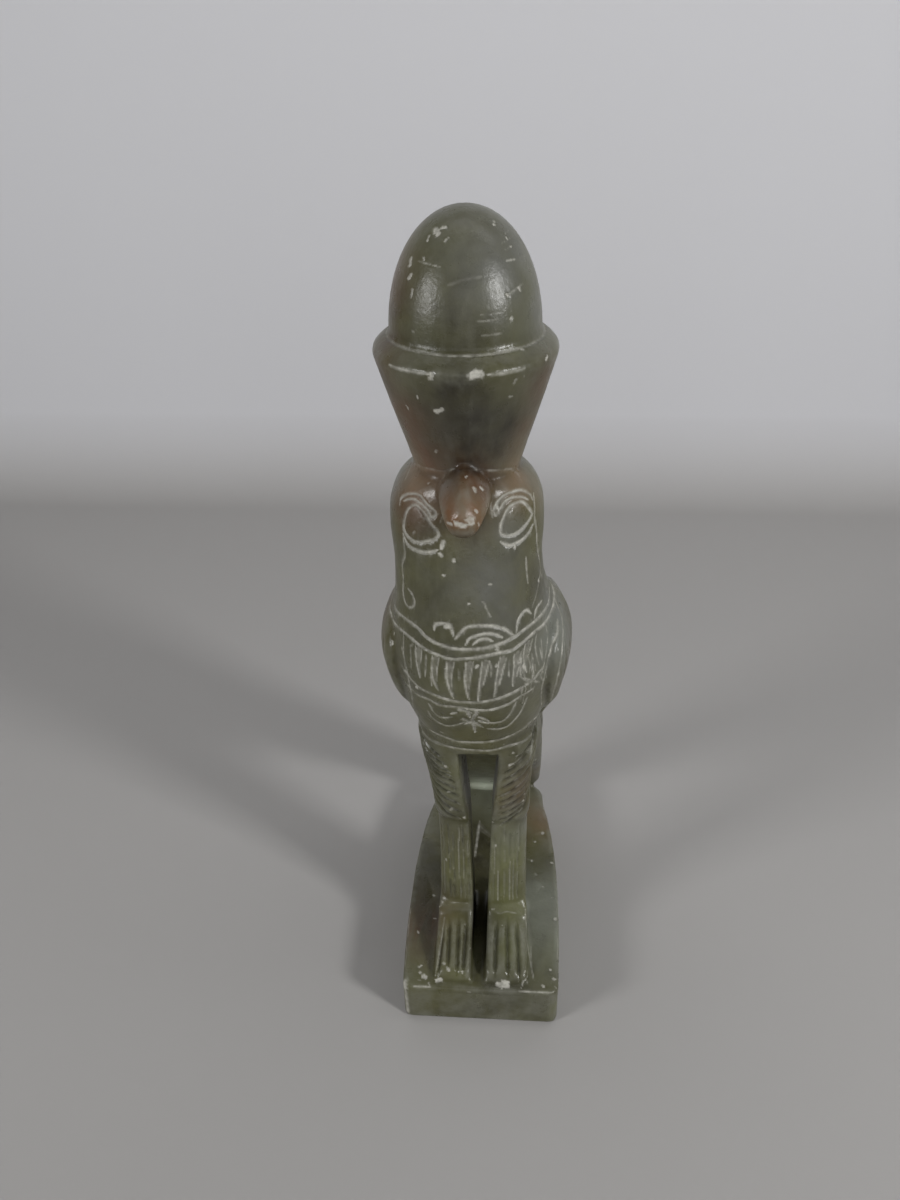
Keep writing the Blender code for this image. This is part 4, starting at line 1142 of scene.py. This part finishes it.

# Where the stone runs to other colours, and where light and shade are painted on: (x, y, height over the
# floor, reach, strength)
stains = {
    "brown": (
        (-20, -14, 236, 9, 0.6), (-24, -20, 221, 8, 0.6), (-17, -22, 206, 9, 0.8), (-13, -22, 197, 8, 0.9),
        (-3, -24, 193, 7, 0.7), (16, -20, 213, 7, 0.6), (11, -20, 201, 7, 0.6), (-18, -24, 184, 8, 0.8),
        (-14, -20, 190, 7, 0.5), (12, -20, 190, 6, 0.45), (13, -26, 84, 9, 0.45), (-19, -26, 17, 12, 0.55),
        (-26, -6, 138, 12, 0.4), (24, -12, 126, 8, 0.4), (6, 12, 120, 16, 0.3), (-12, 30, 70, 14, 0.35),
    ),
    "orange": (
        (-3.4, -35, 188, 8, 1.2), (-2, -30, 193, 6, 1.0), (22, 28, 17, 8, 0.6), (25, 20, 12, 6, 0.5),
        (14, 40, 30, 9, 0.3),
    ),
    # clear: painted light on the base's top behind the slot, which the body and legs shade
    "clear": ((-2, 45, 20, 6, 0.9), (-2, 38, 17, 6, 0.7)),
    "tan": ((-17, -18, 188, 7, 0.8), (-10, -22, 189, 6, 0.4), (11, -19, 189, 7, 0.7), (14, -14, 184, 6, 0.4)),
    # paler stone; the two entries behind the slot and the two on the base's right top at height 17 are
    # painted light where the base lies in shade
    "paleAndLit": (
        (-2, 42, 18, 9, 1.0), (-2, 34, 17, 6, 0.6), (22, -12, 17, 11, 1.0), (23, -28, 17, 10, 0.8),
        (21, -18, 140, 10, 0.4), (10, -26, 60, 9, 0.25), (23, 34, 24, 9, 0.5),
    ),
    # the first eight entries, on the slot's left inner wall, those under the beak at heights 180 and 182, the
    # one in the slot at (0, -6, 90) and the two on the base's top behind the legs at (-1, 14) and (-2, 4) are
    # painted shade; the five down the middle between the feet at x -1.2 and -1 are painted shade with dirt;
    # the rest is darker stone
    "darkAndShade": (
        (-6.8, -20, 98, 5, 1.2), (-6.8, -11, 98, 6, 1.2), (-6.6, -20, 90, 5, 1.2), (-6.6, -11, 90, 6, 1.2),
        (-6, -20, 82, 5, 1.2), (-6, -11, 82, 6, 1.2), (-5, -19, 74, 5, 1.0), (-4.5, -18, 66, 5, 1.0),
        (-3, -32, 215, 9, 1.2), (-1, -30, 208, 9, 1.3), (2, -27, 200, 9, 1.3), (-6, -28, 204, 7, 0.8),
        (-4, -25, 195, 7, 1.1), (7, -27, 208, 8, 0.7), (-3, -28, 226, 7, 0.5), (-3, -29, 180, 4.5, 0.9),
        (-3, -38.5, 182, 3.5, 0.8), (2, -33, 92, 8, 0.3), (8, -50, 8, 12, 0.75), (-12, -50, 8, 11, 0.45),
        (-1, 14, 17, 8, 0.8), (-2, 4, 17, 8, 1.0), (0, -28, 150, 12, 0.25), (-4, -31, 215, 5, 0.6),
        (-2, -28, 208, 5, 0.9), (3, -25, 201, 5, 0.9), (5, -23, 195, 5, 0.6), (-13, -33, 172, 5, 0.4),
        (-21, 0, 17, 9, 0.75), (-22, -14, 17, 6, 0.4), (0, -6, 90, 9, 0.8), (24, 6, 17, 8, 0.35),
        (-1, -27, 173, 4, 0.4), (22, -38, 17, 6, 0.4), (-1.2, -42, 18, 4, 0.7), (-1.2, -34, 19, 7, 1.0),
        (-1.2, -24, 22, 7, 1.0), (-1.2, -14, 24, 7, 0.8), (-1, -4, 18, 6, 0.5),
    ),
    "grey": (
        (4, -20, 243, 10, 0.8), (5, -16, 248, 9, 0.5), (5, -27, 232, 6, 0.3), (16, -16, 232, 10, 0.5),
        (5, -37, 166, 11, 0.9), (8, -37, 157, 9, 0.7), (9, -30, 177, 6, 0.8), (21, -18, 140, 13, 0.9),
        (11, -38, 138, 9, 0.5), (-9, -28, 190, 5, 0.5), (22, -12, 17, 10, 0.7), (24, -24, 17, 8, 0.5),
        (0, 8, 78, 9, 0.6), (12, -18, 60, 10, 0.3), (0, 20, 160, 18, 0.4), (-10, 44, 40, 16, 0.4),
    ),
    "green": (
        (-7, -25, 94, 5, 0.8), (6, -26, 88, 6, 0.6), (-8, -24, 82, 5, 0.6), (24.5, -48, 8, 5, 0.9),
        (25, -36, 16, 7, 0.4), (-8, -44, 22, 8, 0.5), (8, -26, 50, 13, 0.9), (8, -26, 34, 11, 0.8),
        (-9, -25, 46, 13, 0.5), (-9, -34, 25, 9, 0.7), (9, -36, 24, 9, 0.6), (-22, -46, 14, 9, 0.4),
        (25, 10, 16, 9, 0.4),
    ),
}


def stainMask(mesh, name):
    co = meshArrays(mesh)[0] / mm
    values = np.zeros(len(co))
    for x, y, z, reach, strength in stains[name]:
        d2 = ((co - np.array((x, y, z))) ** 2).sum(axis=1)
        values = np.maximum(values, strength * np.exp(-d2 / reach**2))
    storeMask(mesh, name, values)


for name in stains:
    stainMask(stoneMesh, name)
print("masks stored")


def thinOut(mesh, fine):  # fewer triangles on the plain stone, all of them kept along the fine lines
    obj = bpy.data.objects.new("carved", mesh)
    bpy.context.scene.collection.objects.link(obj)
    plain = obj.vertex_groups.new(name="plain")
    plain.add([int(i) for i in np.flatnonzero(~fine)], 1.0, "REPLACE")
    thin = obj.modifiers.new("thin", "DECIMATE")
    thin.ratio = min(1.0, figure["triangles"] / len(mesh.polygons))
    thin.vertex_group = "plain"
    return finalMesh(obj, "falconStatue")


stoneMesh = thinOut(stoneMesh, fineMask)
for polygon in stoneMesh.polygons:
    polygon.use_smooth = True
print("statue skin:", len(stoneMesh.polygons), "triangles")


def srgb(r, g, b):
    linear = [c / 255 / 12.92 if c <= 10 else ((c / 255 + 0.055) / 1.055) ** 2.4 for c in (r, g, b)]
    return (*linear, 1.0)


def addNode(tree, kind, values=None, **settings):
    node = tree.nodes.new(kind)
    for key, value in settings.items():
        setattr(node, key, value)
    for key, value in (values or {}).items():
        node.inputs[key].default_value = value
    return node


def feed(tree, socket, value):
    if isinstance(value, bpy.types.NodeSocket):
        tree.links.new(value, socket)
    else:
        socket.default_value = value


def mixColour(tree, factor, first, second, blend="MIX"):
    node = addNode(tree, "ShaderNodeMix", data_type="RGBA", blend_type=blend)
    for socket, value in ((node.inputs[0], factor), (node.inputs[6], first), (node.inputs[7], second)):
        feed(tree, socket, value)
    return node.outputs[2]


def ramp(tree, source, low, high, start=0.0, end=1.0):
    node = addNode(tree, "ShaderNodeMapRange", {1: low, 2: high, 3: start, 4: end}, clamp=True)
    tree.links.new(source, node.inputs[0])
    return node.outputs[0]


def maths(tree, operation, first, second):
    node = addNode(tree, "ShaderNodeMath", operation=operation)
    feed(tree, node.inputs[0], first)
    feed(tree, node.inputs[1], second)
    return node.outputs[0]


stone = {
    "olive": srgb(88, 86, 56),
    "greyGreen": srgb(92, 92, 70),
    "grey": srgb(108, 109, 108),
    "brown": srgb(92, 58, 38),
    "orange": srgb(122, 74, 32),
    "green": srgb(108, 110, 70),
    # dark stone, also the colour of painted shade in the slot, under the beak and behind the legs
    "darkAndShade": srgb(34, 30, 24),
    "tan": srgb(146, 122, 98),
    # paler stone, also the colour of painted light on the base's top
    "paleAndLit": srgb(136, 140, 124),
    # colour of the painted light behind the slot
    "clear": srgb(176, 182, 166),
    # colour of the painted shade with handling dirt
    "shadeAndGrime": srgb(16, 14, 10),
    "chalk": srgb(186, 184, 174),
    "rubbed": srgb(126, 126, 114),
    "smooth": 0.24,  # roughness of the waxed stone, and of the worn stone
    "worn": 0.4,
    "specular": 0.45,
    "bump": 0.25,  # strength of the fine grain
    "bumpHeight": 0.3,
    "patterns": {  # the scale of each noise in the stone
        "clouds": 24, "flecks": 75, "stainEdges": 55, "wipes": 330, "rubs": 150,
        "dust": 420, "wax": 170, "pores": 900, "pits": 240, "strokes": 420,
    },
}


def soapstone():
    material = bpy.data.materials.new("waxedSoapstone")
    material.use_nodes = True
    tree = material.node_tree
    shader = tree.nodes["Principled BSDF"]
    place = addNode(tree, "ShaderNodeTexCoord").outputs["Object"]

    def pattern(name, detail=4.0, rough=0.55, warp=0.0, stretch=None):
        values = {"Scale": stone["patterns"][name], "Detail": detail, "Roughness": rough, "Distortion": warp}
        node = addNode(tree, "ShaderNodeTexNoise", values)
        source = place
        if stretch:
            mapping = addNode(tree, "ShaderNodeMapping", {"Scale": stretch})
            tree.links.new(place, mapping.inputs["Vector"])
            source = mapping.outputs[0]
        tree.links.new(source, node.inputs["Vector"])
        return node.outputs["Fac"]

    def mask(name):
        return addNode(tree, "ShaderNodeAttribute", attribute_name=name).outputs["Fac"]

    def times(first, second):
        return maths(tree, "MULTIPLY", first, second)

    # Cloudy olive and grey stone with softer dark flecks through it
    clouds = ramp(tree, pattern("clouds", 4, 0.55, 0.5), 0.38, 0.64)
    colour = mixColour(tree, clouds, stone["olive"], stone["greyGreen"])
    flecks = times(ramp(tree, pattern("flecks", 5, 0.6, 0.4), 0.4, 0.7), 0.55)
    colour = mixColour(tree, flecks, colour, stone["darkAndShade"])
    broken = ramp(tree, pattern("stainEdges", 5, 0.6, 0.8), 0.3, 0.7, 0.5, 1.2)
    # the dark stain also holds painted shade, and the pale and clear stains painted light
    for name in ("grey", "green", "brown", "orange", "darkAndShade", "tan", "paleAndLit", "clear"):
        colour = mixColour(tree, times(mask(name), broken), colour, stone[name])
    # Fine wipe marks left by sanding
    wipe = ramp(tree, pattern("wipes", 3, 0.6, 0.2, (1.0, 1.0, 0.12)), 0.5, 0.75, 0.0, 0.12)
    colour = mixColour(tree, wipe, colour, stone["rubbed"])
    # Painted shade with handling dirt in sheltered places and hollows, rubbed edges, and chalk left in the
    # knife lines
    shadeAndDirt = maths(tree, "ADD", ramp(tree, mask("shelter"), 0.52, 0.88, 0.0, 0.92), times(mask("hollow"), 0.6))
    # less painted shade where the stone is paler and painted lit
    shadeAndDirt = times(shadeAndDirt, ramp(tree, mask("paleAndLit"), 0.0, 0.7, 1.0, 0.1))
    colour = mixColour(tree, shadeAndDirt, colour, stone["shadeAndGrime"])
    rub = times(times(mask("edge"), 0.5), ramp(tree, pattern("rubs", 4), 0.35, 0.62))
    colour = mixColour(tree, rub, colour, stone["rubbed"])
    chalky = times(mask("chalk"), ramp(tree, pattern("dust", 5, 0.7), 0.34, 0.56, 0.45, 1.0))
    colour = mixColour(tree, chalky, colour, stone["chalk"])
    tree.links.new(colour, shader.inputs["Base Color"])
    rough = ramp(tree, pattern("wax", 5, 0.6), 0.3, 0.7, stone["smooth"], stone["worn"])
    rough = maths(tree, "ADD", rough, maths(tree, "ADD", times(chalky, 0.4), times(wipe, 0.5)))
    tree.links.new(rough, shader.inputs["Roughness"])
    height = maths(tree, "ADD", pattern("pores", 3), times(pattern("pits", 5, 0.6), 1.5))
    strokes = pattern("strokes", 3, 0.6, 0.2, (1.0, 1.0, 0.15))
    height = maths(tree, "ADD", height, times(strokes, 0.8))
    bump = addNode(tree, "ShaderNodeBump", {"Strength": stone["bump"], "Distance": stone["bumpHeight"] * mm})
    tree.links.new(height, bump.inputs["Height"])
    tree.links.new(bump.outputs[0], shader.inputs["Normal"])
    shader.inputs["Specular IOR Level"].default_value = stone["specular"]
    return material


statue = bpy.data.objects.new("falconStatue", stoneMesh)
bpy.context.scene.collection.objects.link(statue)
stoneMesh.materials.clear()
stoneMesh.materials.append(soapstone())
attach(statue, "root")
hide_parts("falcon_statue")
print("statue placed")

studio = {
    "floor": srgb(172, 170, 168),
    # the upright part of the paper is given a lighter colour than the floor: painted light
    "wall": srgb(214, 214, 217),
    "rise": 334.0,  # how far behind the statue the paper turns up
    "bend": 46.0,
    "width": 2600.0,
    "lights": (  # (place, aim, watts, width, height)
        ((-640, -440, 410), (0, 0, 200), 2.6, 190, 170),
        ((560, -380, 440), (0, 0, 200), 3.0, 100, 120),
        ((150, 40, 800), (170, 380, 250), 1.15, 1000, 200),
        ((200, -2800, 700), (0, 0, 200), 9.0, 2400, 1200),
    ),
    "ambient": 0.08,
    "camera": {"place": (9.57, -235.83, 294.9), "lens": 28.05, "pitch": 56.539, "roll": 1.352, "yaw": 3.957},
}


def sweepPaper():
    start = studio["rise"] - studio["bend"] * 0.4
    profile = [(-1600.0, 0.0), (-200.0, 0.0), (200.0, 0.0), (start, 0.0)]
    for k in range(1, 17):
        a = math.pi / 2 * k / 16
        profile.append((start + studio["bend"] * math.sin(a), studio["bend"] * (1 - math.cos(a))))
    profile.append((start + studio["bend"], 1600.0))
    half = studio["width"] / 2
    mesh = bpy.data.meshes.new("paperSweep")
    corners = [(x * mm, y * mm, z * mm) for y, z in profile for x in (-half, half)]
    mesh.from_pydata(corners, [], [(2 * k, 2 * k + 1, 2 * k + 3, 2 * k + 2) for k in range(len(profile) - 1)])
    for polygon in mesh.polygons:
        polygon.use_smooth = True
    material = bpy.data.materials.new("paper")
    material.use_nodes = True
    tree = material.node_tree
    shader = tree.nodes["Principled BSDF"]
    place = addNode(tree, "ShaderNodeTexCoord").outputs["Object"]
    parts = addNode(tree, "ShaderNodeSeparateXYZ")
    tree.links.new(place, parts.inputs[0])
    # the paper turns to the lighter, painted-light colour where it rises
    upright = ramp(tree, parts.outputs["Z"], 0.0, 0.05)
    tree.links.new(mixColour(tree, upright, studio["floor"], studio["wall"]), shader.inputs["Base Color"])
    shader.inputs["Roughness"].default_value = 0.9
    shader.inputs["Specular IOR Level"].default_value = 0.1
    mesh.materials.append(material)
    obj = bpy.data.objects.new("paperSweep", mesh)
    bpy.context.scene.collection.objects.link(obj)


def hangLights():
    for place, aim, watts, width, height in studio["lights"]:
        light = bpy.data.lights.new("softbox", "AREA")
        light.shape = "RECTANGLE"
        light.energy, light.size, light.size_y = watts, width * mm, height * mm
        obj = bpy.data.objects.new("softbox", light)
        obj.location = Vector(place) * mm
        obj.rotation_euler = (Vector(aim) - Vector(place)).to_track_quat("-Z", "Y").to_euler()
        bpy.context.scene.collection.objects.link(obj)
    world = bpy.data.worlds.new("roomLight")
    world.use_nodes = True
    background = world.node_tree.nodes["Background"]
    background.inputs[0].default_value = (0.95, 0.97, 1.0, 1.0)
    background.inputs[1].default_value = studio["ambient"]
    bpy.context.scene.world = world


def setCamera():
    view = studio["camera"]
    camera = bpy.data.cameras.new("camera")
    camera.lens, camera.sensor_width = view["lens"], 36.0
    obj = bpy.data.objects.new("camera", camera)
    obj.location = Vector(view["place"]) * mm
    obj.rotation_euler = [math.radians(view[k]) for k in ("pitch", "roll", "yaw")]
    bpy.context.scene.collection.objects.link(obj)
    bpy.context.scene.camera = obj
    bpy.context.scene.view_settings.view_transform = "Standard"


sweepPaper()
hangLights()
setCamera()
print("studio set")
